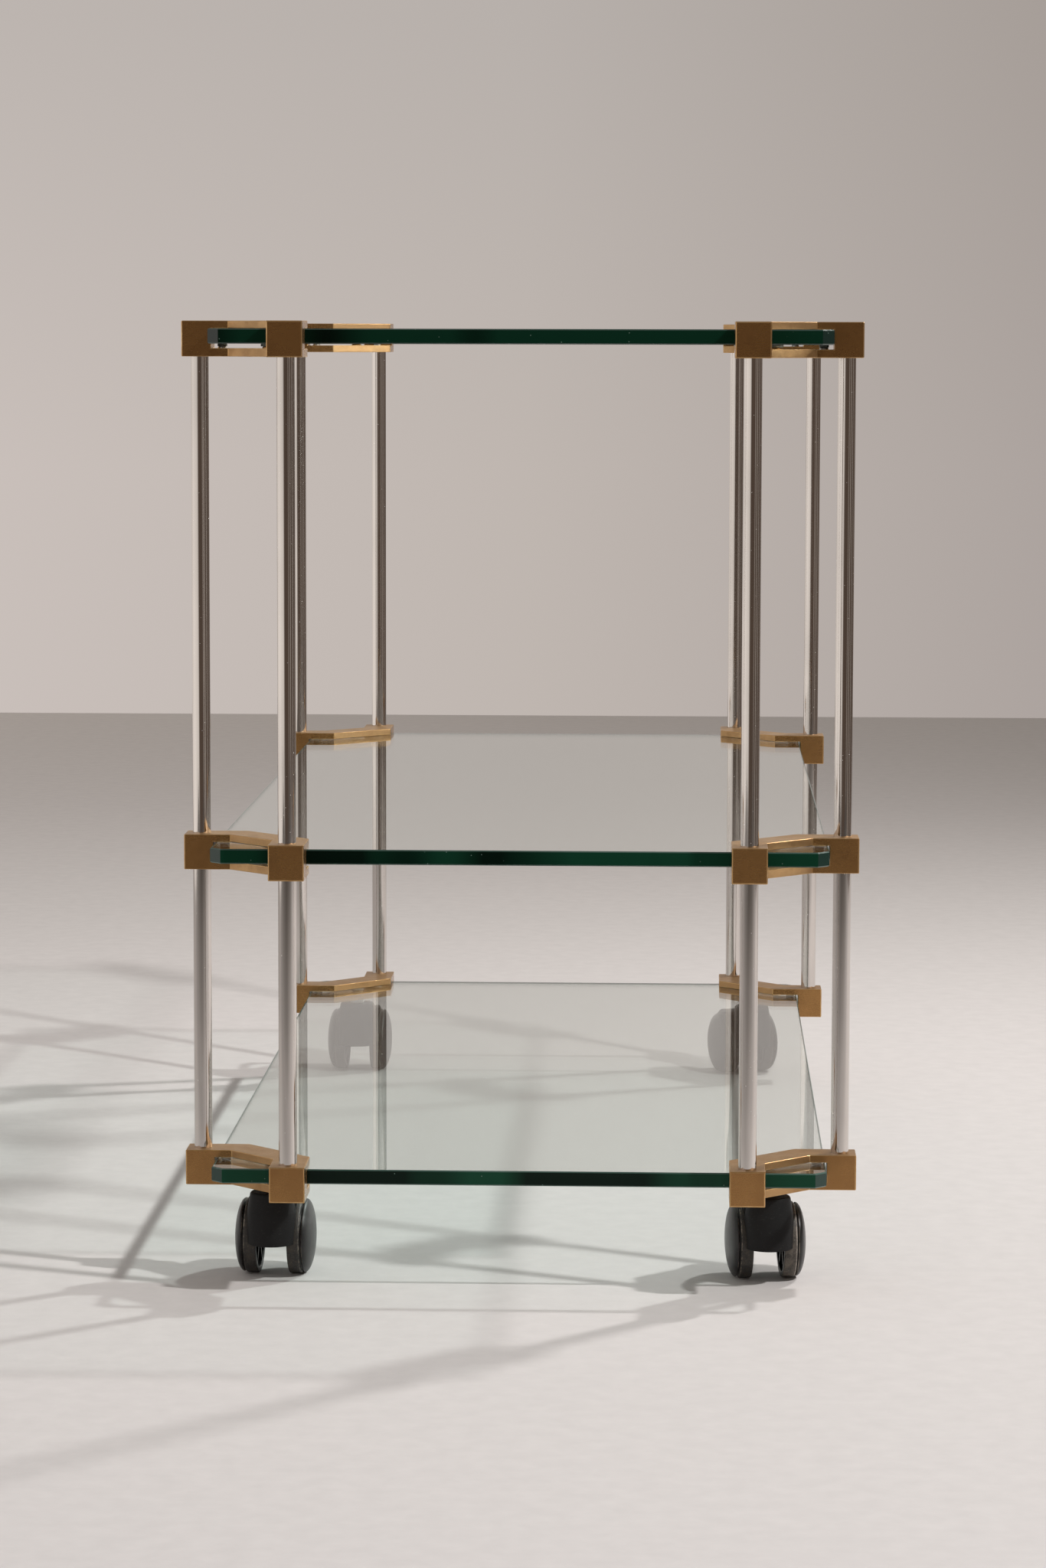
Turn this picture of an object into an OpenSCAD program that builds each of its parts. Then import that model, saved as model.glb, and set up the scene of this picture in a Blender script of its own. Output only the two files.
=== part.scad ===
// Three-tier serving trolley. Glass shelves are clamped by their corners in cast brackets, the brackets
// are held apart by pairs of tubes on tie rods, and the bottom brackets stand on twin-wheel swivel castors.
// Millimetres. The origin is on the floor under the middle of the trolley, +Z is up, and the long side
// runs along Y, with the front end at -Y.

/* [Overall] */
// Width over the brackets
trolley_w = 448; // [360:1:600]
// Length over the brackets
trolley_l = 900; // [600:1:1200]
// Clear height between the bottom and middle brackets
lower_bay_h = 189; // [120:1:320]
// Clear height between the middle and top brackets
upper_bay_h = 316; // [160:1:420]

/* [Brackets] */
// Width of the bent bar, seen from above
bar_w = 23.5; // [21:0.5:30]
// Height of the bar
bar_h = 23.5; // [21:0.5:32]
// Reach of a bracket along each side of its corner
bracket_reach = 85; // [78:0.5:110]
// Straight length of each arm along its outer face, before the bend
arm_straight = 31; // [28:0.5:36]
// Solid length at each end of the bar, outside the slot
boss_l = 19.6; // [18.5:0.1:20.4]
// Thickness of the jaw over the glass
upper_jaw_t = 5; // [3:0.5:6]
// Space between the glass and the jaw under it
clamp_gap = 3; // [2.6:0.1:4]
// Chamfer along the edges of the end faces
bracket_chamfer = 0.8; // [0.3:0.1:1.5]

/* [Glass] */
// Thickness of a shelf
glass_t = 10; // [8:0.5:11]
// Distance from the outer face of the brackets to the long edges of a shelf
glass_side_inset = 20.8; // [20.6:0.1:23]
// Distance from the outer face of the brackets to the short edges of a shelf
glass_end_inset = 22; // [20.6:0.1:23]
// Length cut off each corner, along the edge
glass_corner_cut = 7.5; // [3:0.5:12]
// Width of the polished arris
glass_arris = 0.8; // [0.3:0.1:1.5]

/* [Tubes and tie rods] */
// Outer diameter of a tube
tube_d = 12; // [10:0.5:14]
// Wall of a tube
tube_wall = 1.3; // [0.8:0.1:1.5]
// Distance from the outer face of a bracket to the middle of a tube
tube_inset = 10.8; // [9.6:0.1:11]
// Depth of the seat that takes the end of a tube
tube_seat = 2; // [1:0.5:3]
// Diameter of a tie rod
rod_d = 6; // [5:0.5:6]
// Depth to which a tie rod is screwed into a top bracket
rod_grip = 16; // [8:1:18]
// Diameter of a tie rod nut
nut_d = 12; // [10:0.5:13]
// Height of a tie rod nut
nut_h = 6; // [4:0.5:8]

/* [Clamp screws and pads] */
// Distance from the outer face of a bracket to the edge clamp screws
edge_screw_inset = 26; // [24.5:0.5:29]
// Diameter of an edge clamp screw
edge_screw_d = 6; // [4:0.5:6]
// Distance from the outer faces of a bracket to its centre screw
centre_screw_inset = 57.8; // [55:0.1:58.5]
// Diameter of a centre clamp screw and of a castor's thread
centre_screw_d = 8; // [6:0.5:9]
// Thickness of a pad
pad_t = 1.8; // [1:0.1:2.2]
// Diameter of the pad on an edge clamp screw
edge_pad_d = 6.5; // [5:0.5:8]
// Diameter of the pad on a centre screw
centre_pad_d = 10; // [8:0.5:12]

/* [Castors] */
// Height from the floor to the underside of the bottom brackets
castor_h = 62.5; // [60:0.5:72]
// Diameter of a wheel
wheel_d = 51; // [46:1:52]
// Width of a wheel, with its domed outer face
wheel_w = 16.4; // [14:0.2:20]
// Width of a wheel's tread
tread_w = 8.4; // [7:0.2:11]
// Space between the two wheels of a castor
wheel_gap = 20.8; // [16:0.2:22]
// Distance from the swivel axis back to the axle
castor_trail = 21; // [17:0.5:24]
// Turn of each castor at rest, anticlockwise from above: front left, front right, back left, back right
castor_turns = [-3, 6, -2, 20]; // [-30:1:30]
// Diameter of an axle
axle_d = 6; // [4:0.5:7]
// Diameter of the shroud that runs down in front of the wheels
shroud_d = 32.4; // [30:0.2:34]
// Diameter of the neck, at the top of the shroud
neck_d = 28.6; // [24:0.2:29]
// Height of the shroud's lower edge above the floor
shroud_clear = 24; // [20:0.5:28]
// Wall of the hood over the wheels
hood_t = 2; // [1.5:0.1:2.6]
// Running space between the wheels and the hood
hood_gap = 0.7; // [0.5:0.1:1]
// Space between a wheel and the web beside it
web_gap = 0.4; // [0.2:0.1:0.8]
// Height of the hexagonal collar on a stem
collar_h = 3; // [2:0.5:5]
// Width of the collar across its flats
collar_af = 10; // [9:1:17]
// Depth of the stem's bearing in the neck
stem_bearing = 22; // [12:1:24]

/* [Fits] */
// Radial clearance of a part that turns on another
running_fit = 0.05; // [0.02:0.01:0.08]
// Radial clearance of a screwed or seated part
seat_fit = 0.05; // [0.02:0.01:0.1]
// Space under a collar, on which the neck turns
collar_gap = 0.2; // [0.1:0.05:0.4]

/* [Hidden] */
ends = ["front", "back"];
sides = ["left", "right"];
tiers = ["bottom", "middle", "top"];
stacks = ["side", "end"];

// Heights of the undersides of the brackets, from the bottom tier to the top tier
tier_z = [castor_h, castor_h + bar_h + lower_bay_h, castor_h + 2 * bar_h + lower_bay_h + upper_bay_h];

// The bar: its centre line, and the extra length of the inner face at each 45 degree bend
bar_axis = bracket_reach - bar_w / 2;
bend_growth = bar_w * tan(22.5);
lower_jaw_t = bar_h - upper_jaw_t - glass_t - clamp_gap;
glass_z = bar_h - upper_jaw_t - glass_t;
stack_xy = [[tube_inset, bar_axis], [bar_axis, tube_inset]];
edge_screw_xy = [[edge_screw_inset, bar_axis], [bar_axis, edge_screw_inset]];
centre_xy = [centre_screw_inset, centre_screw_inset];
screw_top = lower_jaw_t + clamp_gap - pad_t;
nut_recess = nut_h + 0.5;

// Castor, in its own place: swivel axis on Z, floor at 0, wheels behind at +Y
axle_z = wheel_d / 2;
axle_l = wheel_gap + 2 * (wheel_w - 5);
web_w = wheel_gap - 2 * web_gap;
hood_r = wheel_d / 2 + hood_gap;
neck_top = castor_h - collar_h - collar_gap;

// Margin by which a cut passes the face that it starts from
cut = 1;
// Larger than any bracket or castor
big = 2 * max(bracket_reach, castor_h);

$fn = 64;

// ---------- Placing ----------

// Corner of the trolley: local x and y run inwards from the outer corner of a bracket
module at_corner(end, side) {
    mirror([side == "right" ? 1 : 0, 0, 0])
        mirror([0, end == "back" ? 1 : 0, 0])
            translate([-trolley_w / 2, -trolley_l / 2, 0])
                children();
}

// All four corners
module at_corners() {
    for (end = ends, side = sides)
        at_corner(end, side) children();
}

// Swivel axis of a castor, with the wheels trailing towards +Y but for the castor's own turn at rest
module at_castor(end, side) {
    translate([
        (side == "left" ? -1 : 1) * (trolley_w / 2 - centre_screw_inset),
        (end == "front" ? -1 : 1) * (trolley_l / 2 - centre_screw_inset),
        0
    ])
        rotate([0, 0, castor_turns[(end == "front" ? 0 : 2) + (side == "left" ? 0 : 1)]])
            children();
}

// ---------- Shelves ----------

// Long bar along Y with its four long edges chamfered, as the region inside a pair of edges
module arris_bar(width, thickness, chamfer, length) {
    half_w = width / 2;
    rotate([90, 0, 0])
        translate([0, 0, -length / 2])
            linear_extrude(length)
                polygon([
                    [-half_w + chamfer, 0], [half_w - chamfer, 0],
                    [half_w, chamfer], [half_w, thickness - chamfer],
                    [half_w - chamfer, thickness], [-half_w + chamfer, thickness],
                    [-half_w, thickness - chamfer], [-half_w, chamfer]
                ]);
}

// Glass shelf: a rectangle with its corners cut at 45 degrees and a polished arris on every edge
module glass_shelf(tier) {
    width = trolley_w - 2 * glass_side_inset;
    length = trolley_l - 2 * glass_end_inset;
    // Distance between opposite cut corners, across the diagonal
    diagonal = (width + length - 2 * glass_corner_cut) / sqrt(2);
    reach = width + length;
    color([0.62, 0.78, 0.70, 0.5])
        translate([0, 0, tier_z[tier] + glass_z])
            intersection() {
                arris_bar(width, glass_t, glass_arris, reach);
                rotate([0, 0, 90]) arris_bar(length, glass_t, glass_arris, reach);
                rotate([0, 0, 45]) arris_bar(diagonal, glass_t, glass_arris, reach);
                rotate([0, 0, -45]) arris_bar(diagonal, glass_t, glass_arris, reach);
            }
}

// ---------- Brackets ----------

// Outline of the bent bar from above
module bracket_plan() {
    inner = arm_straight + bend_growth;
    outer_end = bracket_reach - bar_w;
    c = bracket_chamfer;
    polygon([
        [0, outer_end + c], [c, outer_end], [arm_straight, outer_end],
        [outer_end, arm_straight], [outer_end, c], [outer_end + c, 0],
        [bracket_reach - c, 0], [bracket_reach, c], [bracket_reach, inner],
        [inner, bracket_reach], [c, bracket_reach], [0, bracket_reach - c]
    ]);
}

// Height profile of the bar, chamfered above and below at the end face that lies on x = 0
module end_face_profile() {
    c = bracket_chamfer;
    polygon([
        [c, 0], [bracket_reach + cut, 0], [bracket_reach + cut, bar_h], [c, bar_h], [0, bar_h - c], [0, c]
    ]);
}

// The bar with its slot for the glass
module slotted_bar() {
    difference() {
        intersection() {
            linear_extrude(bar_h) bracket_plan();
            translate([0, bracket_reach + cut, 0])
                rotate([90, 0, 0])
                    linear_extrude(bracket_reach + 2 * cut) end_face_profile();
            mirror([1, -1, 0])
                translate([0, bracket_reach + cut, 0])
                    rotate([90, 0, 0])
                        linear_extrude(bracket_reach + 2 * cut) end_face_profile();
        }
        translate([boss_l, boss_l, lower_jaw_t])
            cube([bracket_reach, bracket_reach, clamp_gap + glass_t]);
    }
}

// Seat for the end of a tube, sunk from a face at height z in the direction of up (1) or down (-1)
module tube_seat_cut(z, up) {
    translate([0, 0, up == 1 ? z - tube_seat : z - cut])
        cylinder(d = tube_d + 2 * seat_fit, h = tube_seat + cut);
}

// Bracket of one tier, in its own place at the corner
module bracket(tier) {
    top = len(tiers) - 1;
    difference() {
        slotted_bar();
        for (xy = stack_xy)
            translate([xy[0], xy[1], 0]) {
                if (tier > 0) tube_seat_cut(0, -1);
                if (tier < top) tube_seat_cut(bar_h, 1);
                // The tie rod passes through, and stops in a blind hole on the top tier
                translate([0, 0, -cut])
                    cylinder(
                        d = rod_d + 2 * seat_fit,
                        h = cut + (tier == top ? rod_grip + cut : bar_h + cut)
                    );
                // Recess for the nut under the bottom tier
                if (tier == 0)
                    translate([0, 0, -cut])
                        cylinder(d = nut_d + 2 * seat_fit, h = nut_recess + cut);
            }
        for (xy = edge_screw_xy)
            translate([xy[0], xy[1], -cut])
                cylinder(d = edge_screw_d + 2 * seat_fit, h = lower_jaw_t + 2 * cut);
        translate([centre_xy[0], centre_xy[1], -cut])
            cylinder(d = centre_screw_d + 2 * seat_fit, h = lower_jaw_t + 2 * cut);
    }
}

// ---------- Tubes and tie rods ----------

// Tube between two tiers, standing in its seats
module tube(tier, stack) {
    length = tier_z[tier + 1] - tier_z[tier] - bar_h + 2 * tube_seat;
    color([0.80, 0.79, 0.76])
        translate([stack_xy[stack][0], stack_xy[stack][1], tier_z[tier] + bar_h - tube_seat])
            difference() {
                cylinder(d = tube_d, h = length);
                translate([0, 0, -cut])
                    cylinder(d = tube_d - 2 * tube_wall, h = length + 2 * cut);
            }
}

// Rod from its nut in a bottom bracket to its blind hole in a top bracket
module tie_rod() {
    low = tier_z[0] + 0.5;
    high = tier_z[len(tiers) - 1] + rod_grip;
    chamfer = 0.6;
    color([0.62, 0.63, 0.65])
        translate([0, 0, low])
            rotate_extrude()
                polygon([
                    [0, 0], [rod_d / 2 - chamfer, 0], [rod_d / 2, chamfer],
                    [rod_d / 2, high - low - chamfer], [rod_d / 2 - chamfer, high - low], [0, high - low]
                ]);
}

// Round nut with two holes for a pin spanner, flush with the underside of a bottom bracket
module tie_rod_nut() {
    spanner_hole_d = 1.6;
    spanner_hole_r = (rod_d + nut_d) / 4;
    color([0.72, 0.58, 0.36])
        translate([0, 0, tier_z[0] + nut_recess - nut_h])
            difference() {
                cylinder(d = nut_d, h = nut_h);
                translate([0, 0, -cut]) cylinder(d = rod_d + 2 * seat_fit, h = nut_h + 2 * cut);
                for (turn = [0, 180])
                    rotate([0, 0, turn])
                        translate([spanner_hole_r, 0, -cut])
                            cylinder(d = spanner_hole_d, h = nut_h / 2 + cut, $fn = 24);
            }
}

// ---------- Clamp screws and pads ----------

// Headless screw, slotted for a driver, flush with the underside of the jaw
module clamp_screw(diameter) {
    slot_w = diameter / 6;
    slot_depth = diameter / 5;
    difference() {
        cylinder(d = diameter, h = screw_top);
        translate([-diameter, -slot_w / 2, -cut]) cube([2 * diameter, slot_w, slot_depth + cut]);
    }
}

module edge_clamp_screw() {
    color([0.62, 0.63, 0.65]) clamp_screw(edge_screw_d);
}

module centre_clamp_screw() {
    color([0.66, 0.49, 0.27]) clamp_screw(centre_screw_d);
}

// Pad between the tip of a screw and the underside of the glass
module pad(diameter) {
    color([0.42, 0.44, 0.43])
        translate([0, 0, screw_top]) cylinder(d = diameter, h = pad_t);
}

// ---------- Castors ----------

// Stem: thread into the bracket, hexagonal collar, and the pin on which the neck turns
module castor_stem() {
    point = 0.8;
    groove_w = 1.5;
    groove_depth = 0.6;
    groove_z = neck_top - stem_bearing / 2;
    pin_r = centre_screw_d / 2;
    color([0.74, 0.75, 0.76]) {
        rotate_extrude()
            polygon([
                [0, neck_top - stem_bearing + 0.5],
                [pin_r - point, neck_top - stem_bearing + 0.5],
                [pin_r, neck_top - stem_bearing + 0.5 + point],
                [pin_r, groove_z - groove_w / 2], [pin_r - groove_depth, groove_z - groove_w / 2],
                [pin_r - groove_depth, groove_z + groove_w / 2], [pin_r, groove_z + groove_w / 2],
                [pin_r, castor_h + screw_top - point], [pin_r - point, castor_h + screw_top],
                [0, castor_h + screw_top]
            ]);
        translate([0, 0, castor_h - collar_h])
            cylinder(d = collar_af / cos(30), h = collar_h, $fn = 6);
    }
}

// Solid of the neck and shroud: narrow at the top, straight below, with a rounded shoulder
module shroud_solid() {
    neck_r = neck_d / 2;
    shroud_r = shroud_d / 2;
    round = 2;
    taper_h = 14;
    rotate_extrude()
        polygon(concat(
            [[0, shroud_clear], [shroud_r, shroud_clear], [shroud_r, neck_top - taper_h]],
            [for (a = [0 : 22.5 : 90])
                [neck_r - round + round * cos(a), neck_top - round + round * sin(a)]],
            [[0, neck_top]]
        ));
}

// Slice of a cylinder about the axle, of one width along X, cut to a polygon in the Y-Z plane
module axle_slice(radius, width, points) {
    intersection() {
        translate([-width / 2, castor_trail, axle_z])
            rotate([0, 90, 0]) cylinder(r = radius, h = width, $fn = 96);
        translate([-width / 2, 0, 0])
            rotate([90, 0, 90])
                linear_extrude(width) polygon(points);
    }
}

// Housing: shroud, hood over both wheels and the web that carries the axle, as one moulding
module castor_housing() {
    outer_r = hood_r + hood_t;
    y0 = castor_trail;
    // The hood runs from the shroud back to 28 degrees above the axle
    hood_back = 28;
    hood_zone = [
        [y0, axle_z], [0, axle_z], [0, axle_z + big], [y0, axle_z + big],
        [y0 + big, axle_z + big], [y0 + big * cos(hood_back), axle_z + big * sin(hood_back)]
    ];
    // The web runs from the shroud to a slanting lower edge under the axle
    web_zone = [
        [0, shroud_clear], [y0, axle_z - axle_d - 0.5], [y0 + axle_d, axle_z - axle_d + 1],
        [y0 + big * cos(hood_back), axle_z + big * sin(hood_back)],
        [y0 + big, axle_z + big], [0, axle_z + big]
    ];
    color([0.09, 0.09, 0.09])
        difference() {
            union() {
                difference() {
                    union() {
                        shroud_solid();
                        axle_slice(outer_r, shroud_d, hood_zone);
                    }
                    for (s = [-1, 1])
                        translate([s * (web_w / 2 + big / 2), castor_trail, axle_z])
                            rotate([0, 90, 0]) cylinder(r = hood_r, h = big, center = true, $fn = 96);
                }
                axle_slice(outer_r, web_w, web_zone);
            }
            // Bearing for the stem
            translate([0, 0, neck_top - stem_bearing])
                cylinder(d = centre_screw_d + 2 * running_fit, h = stem_bearing + cut);
            // Hole for the axle
            translate([0, castor_trail, axle_z])
                rotate([0, 90, 0])
                    cylinder(d = axle_d + 2 * seat_fit, h = web_w + 2 * cut, center = true);
        }
}

module castor_axle() {
    color([0.70, 0.71, 0.72])
        translate([0, castor_trail, axle_z])
            rotate([0, 90, 0]) cylinder(d = axle_d, h = axle_l, center = true);
}

// Wheel about the X axis, with its inner face on x = 0 and its dome towards +X
module wheel_form() {
    r = wheel_d / 2;
    edge = 0.8;
    groove = 0.8;
    dome_r = r - groove;
    dome_x = tread_w + 2 * groove;
    dome_h = wheel_w - dome_x;
    bore_r = axle_d / 2 + running_fit;
    bore_depth = (axle_l - wheel_gap) / 2 + 0.5;
    rim = 4;
    hub_r = axle_d / 2 + 3;
    recess = 5;
    rotate([90, 0, 90]) {
        rotate_extrude($fn = 96)
            polygon(concat(
                [
                    [0, bore_depth], [bore_r, bore_depth], [bore_r, 0], [hub_r, 0], [hub_r, recess],
                    [r - rim, recess], [r - rim, 0], [r - edge, 0], [r, edge], [r, tread_w - edge],
                    [r - edge, tread_w], [r - 2 * groove, tread_w + groove / 2],
                ],
                [for (a = [0 : 10 : 80]) [dome_r * cos(a), dome_x + dome_h * sin(a)]],
                [[0, wheel_w]]
            ));
        // Ribs inside the wheel, between the hub and the rim
        for (turn = [0 : 60 : 300])
            rotate([0, 0, turn])
                translate([hub_r - 0.5, -0.8, 0.6]) cube([r - rim - hub_r + 1, 1.6, recess - 0.2]);
    }
}

// Wheel of a castor on the side of the trolley's edge (outer) or middle (inner)
module castor_wheel(side, place) {
    turned = (side == "left") == (place == "outer");
    color([0.12, 0.12, 0.12])
        mirror([turned ? 1 : 0, 0, 0])
            translate([wheel_gap / 2, castor_trail, axle_z])
                wheel_form();
}

// ---------- Nodes ----------

for (tier = [0 : 2])
    glass_shelf(tier);

for (tier = [0 : 2], end = ends, side = sides)
    color([0.66, 0.47, 0.27])
            at_corner(end, side) translate([0, 0, tier_z[tier]]) bracket(tier);

for (tier = [0, 1], end = ends, side = sides, stack = [0, 1])
    at_corner(end, side) tube(tier, stack);

at_corners() for (xy = stack_xy) translate([xy[0], xy[1], 0]) tie_rod();  // tie_rods

at_corners() for (xy = stack_xy) translate([xy[0], xy[1], 0]) tie_rod_nut();  // tie_rod_nuts

at_corners()  // edge_clamp_screws
        for (z = tier_z, xy = edge_screw_xy) translate([xy[0], xy[1], z]) edge_clamp_screw();

at_corners()  // centre_clamp_screws
        for (tier = [1, 2]) translate([centre_xy[0], centre_xy[1], tier_z[tier]]) centre_clamp_screw();

at_corners()  // edge_pads
        for (z = tier_z, xy = edge_screw_xy) translate([xy[0], xy[1], z]) pad(edge_pad_d);

at_corners()  // centre_pads
        for (z = tier_z) translate([centre_xy[0], centre_xy[1], z]) pad(centre_pad_d);

for (end = ends, side = sides) {
    at_castor(end, side) castor_stem();
    at_castor(end, side) castor_housing();
    at_castor(end, side) castor_axle();
    for (place = ["outer", "inner"])
        at_castor(end, side) castor_wheel(side, place);
}
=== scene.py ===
"""Looks of the three-tier glass trolley: every visible piece, its finish, the studio and the camera.

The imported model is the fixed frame. Lengths are in millimetres until a mesh is placed, then in metres.
"""

import logging
import math
from dataclasses import dataclass
from enum import Enum
from typing import Any, Mapping, Sequence

import bmesh
import bpy
from mathutils import Matrix, Vector

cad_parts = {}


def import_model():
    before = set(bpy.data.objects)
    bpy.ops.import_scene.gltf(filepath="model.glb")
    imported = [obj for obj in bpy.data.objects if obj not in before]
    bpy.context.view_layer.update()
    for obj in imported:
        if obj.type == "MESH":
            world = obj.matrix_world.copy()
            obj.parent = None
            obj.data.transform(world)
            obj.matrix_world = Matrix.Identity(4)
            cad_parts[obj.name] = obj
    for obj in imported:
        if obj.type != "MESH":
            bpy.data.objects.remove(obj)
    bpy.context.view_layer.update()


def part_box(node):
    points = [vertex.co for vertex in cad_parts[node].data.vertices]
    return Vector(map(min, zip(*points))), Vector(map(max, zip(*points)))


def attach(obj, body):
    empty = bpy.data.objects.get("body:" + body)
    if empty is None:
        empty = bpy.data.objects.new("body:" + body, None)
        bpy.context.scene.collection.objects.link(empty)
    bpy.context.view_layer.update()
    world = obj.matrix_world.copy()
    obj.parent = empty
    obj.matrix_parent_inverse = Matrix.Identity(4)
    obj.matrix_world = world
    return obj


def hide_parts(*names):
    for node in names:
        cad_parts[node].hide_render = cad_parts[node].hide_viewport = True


LOG = logging.getLogger("trolley")
MM = 0.001
TO_METRES = Matrix.Diagonal((MM, MM, MM, 1))
NO_RADIUS = 1e-6
CLEARANCE = 0.05
Point = tuple[float, float]
Colour = tuple[float, float, float]
Object = bpy.types.Object
Material = bpy.types.Material
Socket = bpy.types.NodeSocket
Solid = bmesh.types.BMesh


# ---------- Names and places ----------


class End(Enum):
    """Short end of the trolley."""

    FRONT = "front"
    BACK = "back"


class Side(Enum):
    """Long side of the trolley."""

    LEFT = "left"
    RIGHT = "right"


class Level(Enum):
    """A level with a number, counted from the floor."""

    @property
    def label(self) -> str:
        """The level's word in node and piece names."""
        return self.name.lower()


class Tier(Level):
    """Shelf level."""

    BOTTOM = 0
    MIDDLE = 1
    TOP = 2


class Bay(Level):
    """Space between two shelves, by the tier under it."""

    LOWER = 0
    UPPER = 1


class Place(Enum):
    """Wheel of a castor on the side of the trolley's edge or of its middle."""

    OUTER = "outer"
    INNER = "inner"


@dataclass(frozen=True)
class Corner:
    """One corner of the trolley. Local x and y run inwards from the outer corner of its bracket."""

    end: End
    side: Side
    width: float = 448.0
    length: float = 900.0

    @property
    def name(self) -> str:
        """Words for this corner in node and piece names."""
        return f"{self.end.value}_{self.side.value}"

    @property
    def inward_x(self) -> int:
        """Direction of local x along X."""
        return 1 if self.side is Side.LEFT else -1

    @property
    def inward_y(self) -> int:
        """Direction of local y along Y."""
        return 1 if self.end is End.FRONT else -1

    def point(self, x: float, y: float, z: float = 0.0) -> Vector:
        """Place of a local point in the trolley's frame, in millimetres."""
        return Vector((self.inward_x * (x - self.width / 2), self.inward_y * (y - self.length / 2), z))


CORNERS = tuple(Corner(end, side) for end in End for side in Side)


@dataclass(frozen=True)
class Heights:
    """Heights of the brackets' undersides and of their bar, in millimetres."""

    tiers: tuple[float, ...]
    bar: float

    @classmethod
    def of_frame(cls) -> "Heights":
        """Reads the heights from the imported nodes."""
        boxes = [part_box(f"bracket_{tier.label}_front_left") for tier in Tier]
        return cls(tuple(low.z / MM for low, _ in boxes), (boxes[0][1].z - boxes[0][0].z) / MM)


# ---------- Mesh making ----------


def close_wall(bm: Solid, one: Sequence[Any], two: Sequence[Any]) -> list[bmesh.types.BMFace]:
    """Joins two rings of as many corners by a wall.

    Args:
        bm: The mesh.
        one: Corners of the first ring.
        two: Corners of the second ring.

    Returns:
        The wall's faces, in the order of the corners.
    """
    count = len(one)
    return [bm.faces.new((one[i], two[i], two[(i + 1) % count], one[(i + 1) % count])) for i in range(count)]


def outline_solid(points: Sequence[Point], low: float, high: float, axis: str = "Z") -> Solid:
    """Raises a closed outline into a solid.

    Args:
        points: Corners of the outline, in order.
        low: Lower end of the solid along the axis.
        high: Upper end of the solid along the axis.
        axis: "Z" for an outline in X-Y, or "X" for one in Y-Z.

    Returns:
        The solid, with its faces outwards.
    """
    bm = bmesh.new()
    base, top = (
        [bm.verts.new((*p, at) if axis == "Z" else (at, *p)) for p in points] for at in (low, high)
    )
    bm.faces.new(base)
    bm.faces.new(list(reversed(top)))
    close_wall(bm, base, top)
    bmesh.ops.recalc_face_normals(bm, faces=bm.faces)
    return bm


def turned_solid(
    profile: Sequence[Point], segments: int, axis: str = "Z", marks: Mapping[int, int] | None = None
) -> Solid:
    """Turns a profile about an axis, as on a lathe.

    Args:
        profile: Points as (radius, height), from pole to pole, or a ring that closes by itself.
        segments: Number of steps round the axis.
        axis: "Z", or "X" for a wheel.
        marks: Material slots other than the first, by the number of the profile's stretch.

    Returns:
        The solid, with its faces outwards.
    """
    bm = bmesh.new()
    rings: list[list[bmesh.types.BMVert]] = []
    for radius, height in profile:
        ring = []
        for i in range(segments if radius > NO_RADIUS else 1):
            turn = 2 * math.pi * i / segments
            flat = (radius * math.cos(turn), radius * math.sin(turn))
            ring.append(bm.verts.new((*flat, height) if axis == "Z" else (height, *flat)))
        rings.append(ring)
    pairs = list(zip(rings, rings[1:]))
    if len(rings[0]) > 1:
        pairs.append((rings[-1], rings[0]))
    for number, (one, two) in enumerate(pairs):
        for i in range(segments):
            j = (i + 1) % segments
            corners = (one[i % len(one)], one[j % len(one)], two[j % len(two)], two[i % len(two)])
            bm.faces.new(list(dict.fromkeys(corners))).material_index = (marks or {}).get(number, 0)
    bmesh.ops.recalc_face_normals(bm, faces=bm.faces)
    return bm


def cylinder(radius: float, low: float, high: float, segments: int, axis: str = "Z") -> Solid:
    """A plain cylinder about the axis through the origin."""
    return turned_solid([(0, low), (radius, low), (radius, high), (0, high)], segments, axis)


def arc(centre: Point, radius: Point, start: float, stop: float, steps: int) -> list[Point]:
    """Points along an elliptical arc.

    Args:
        centre: Middle of the arc.
        radius: Half axes of the arc.
        start: First angle in degrees.
        stop: Last angle in degrees.
        steps: Number of stretches.

    Returns:
        The points from start to stop, both included.
    """
    turns = [math.radians(start + (stop - start) * i / steps) for i in range(steps + 1)]
    return [(centre[0] + radius[0] * math.cos(t), centre[1] + radius[1] * math.sin(t)) for t in turns]


def thread(radius: float, depth: float, low: float, high: float, pitch: float, root: float) -> list[Point]:
    """Profile of a turned thread, groove by groove.

    Args:
        radius: Outer radius.
        depth: Depth of a groove.
        low: Start of the thread.
        high: End that the last groove stays under.
        pitch: Distance between two grooves.
        root: Place of a groove's deepest point in its pitch.

    Returns:
        The points, from low to high.
    """
    points: list[Point] = []
    crest, z = 0.15, low
    while z + pitch < high:
        points += [(radius, z + crest), (radius - depth, z + root), (radius, z + pitch - crest)]
        z += pitch
    return points


def link(name: str, data: Any) -> Object:
    """Puts new data into the scene.

    Args:
        name: Name of the object.
        data: Its mesh, lamp or camera.

    Returns:
        The object, at the origin.
    """
    obj = bpy.data.objects.new(name, data)
    bpy.context.scene.collection.objects.link(obj)
    return obj


def make_object(name: str, bm: Solid, finishes: Sequence[Material] = ()) -> Object:
    """Turns a bmesh into an object of the scene.

    Args:
        name: Name of the object.
        bm: The mesh, which is used up.
        finishes: Materials for its slots.

    Returns:
        The new object, at the origin.
    """
    mesh = bpy.data.meshes.new(name)
    bm.to_mesh(mesh)
    bm.free()
    for finish in finishes:
        mesh.materials.append(finish)
    return link(name, mesh)


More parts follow.
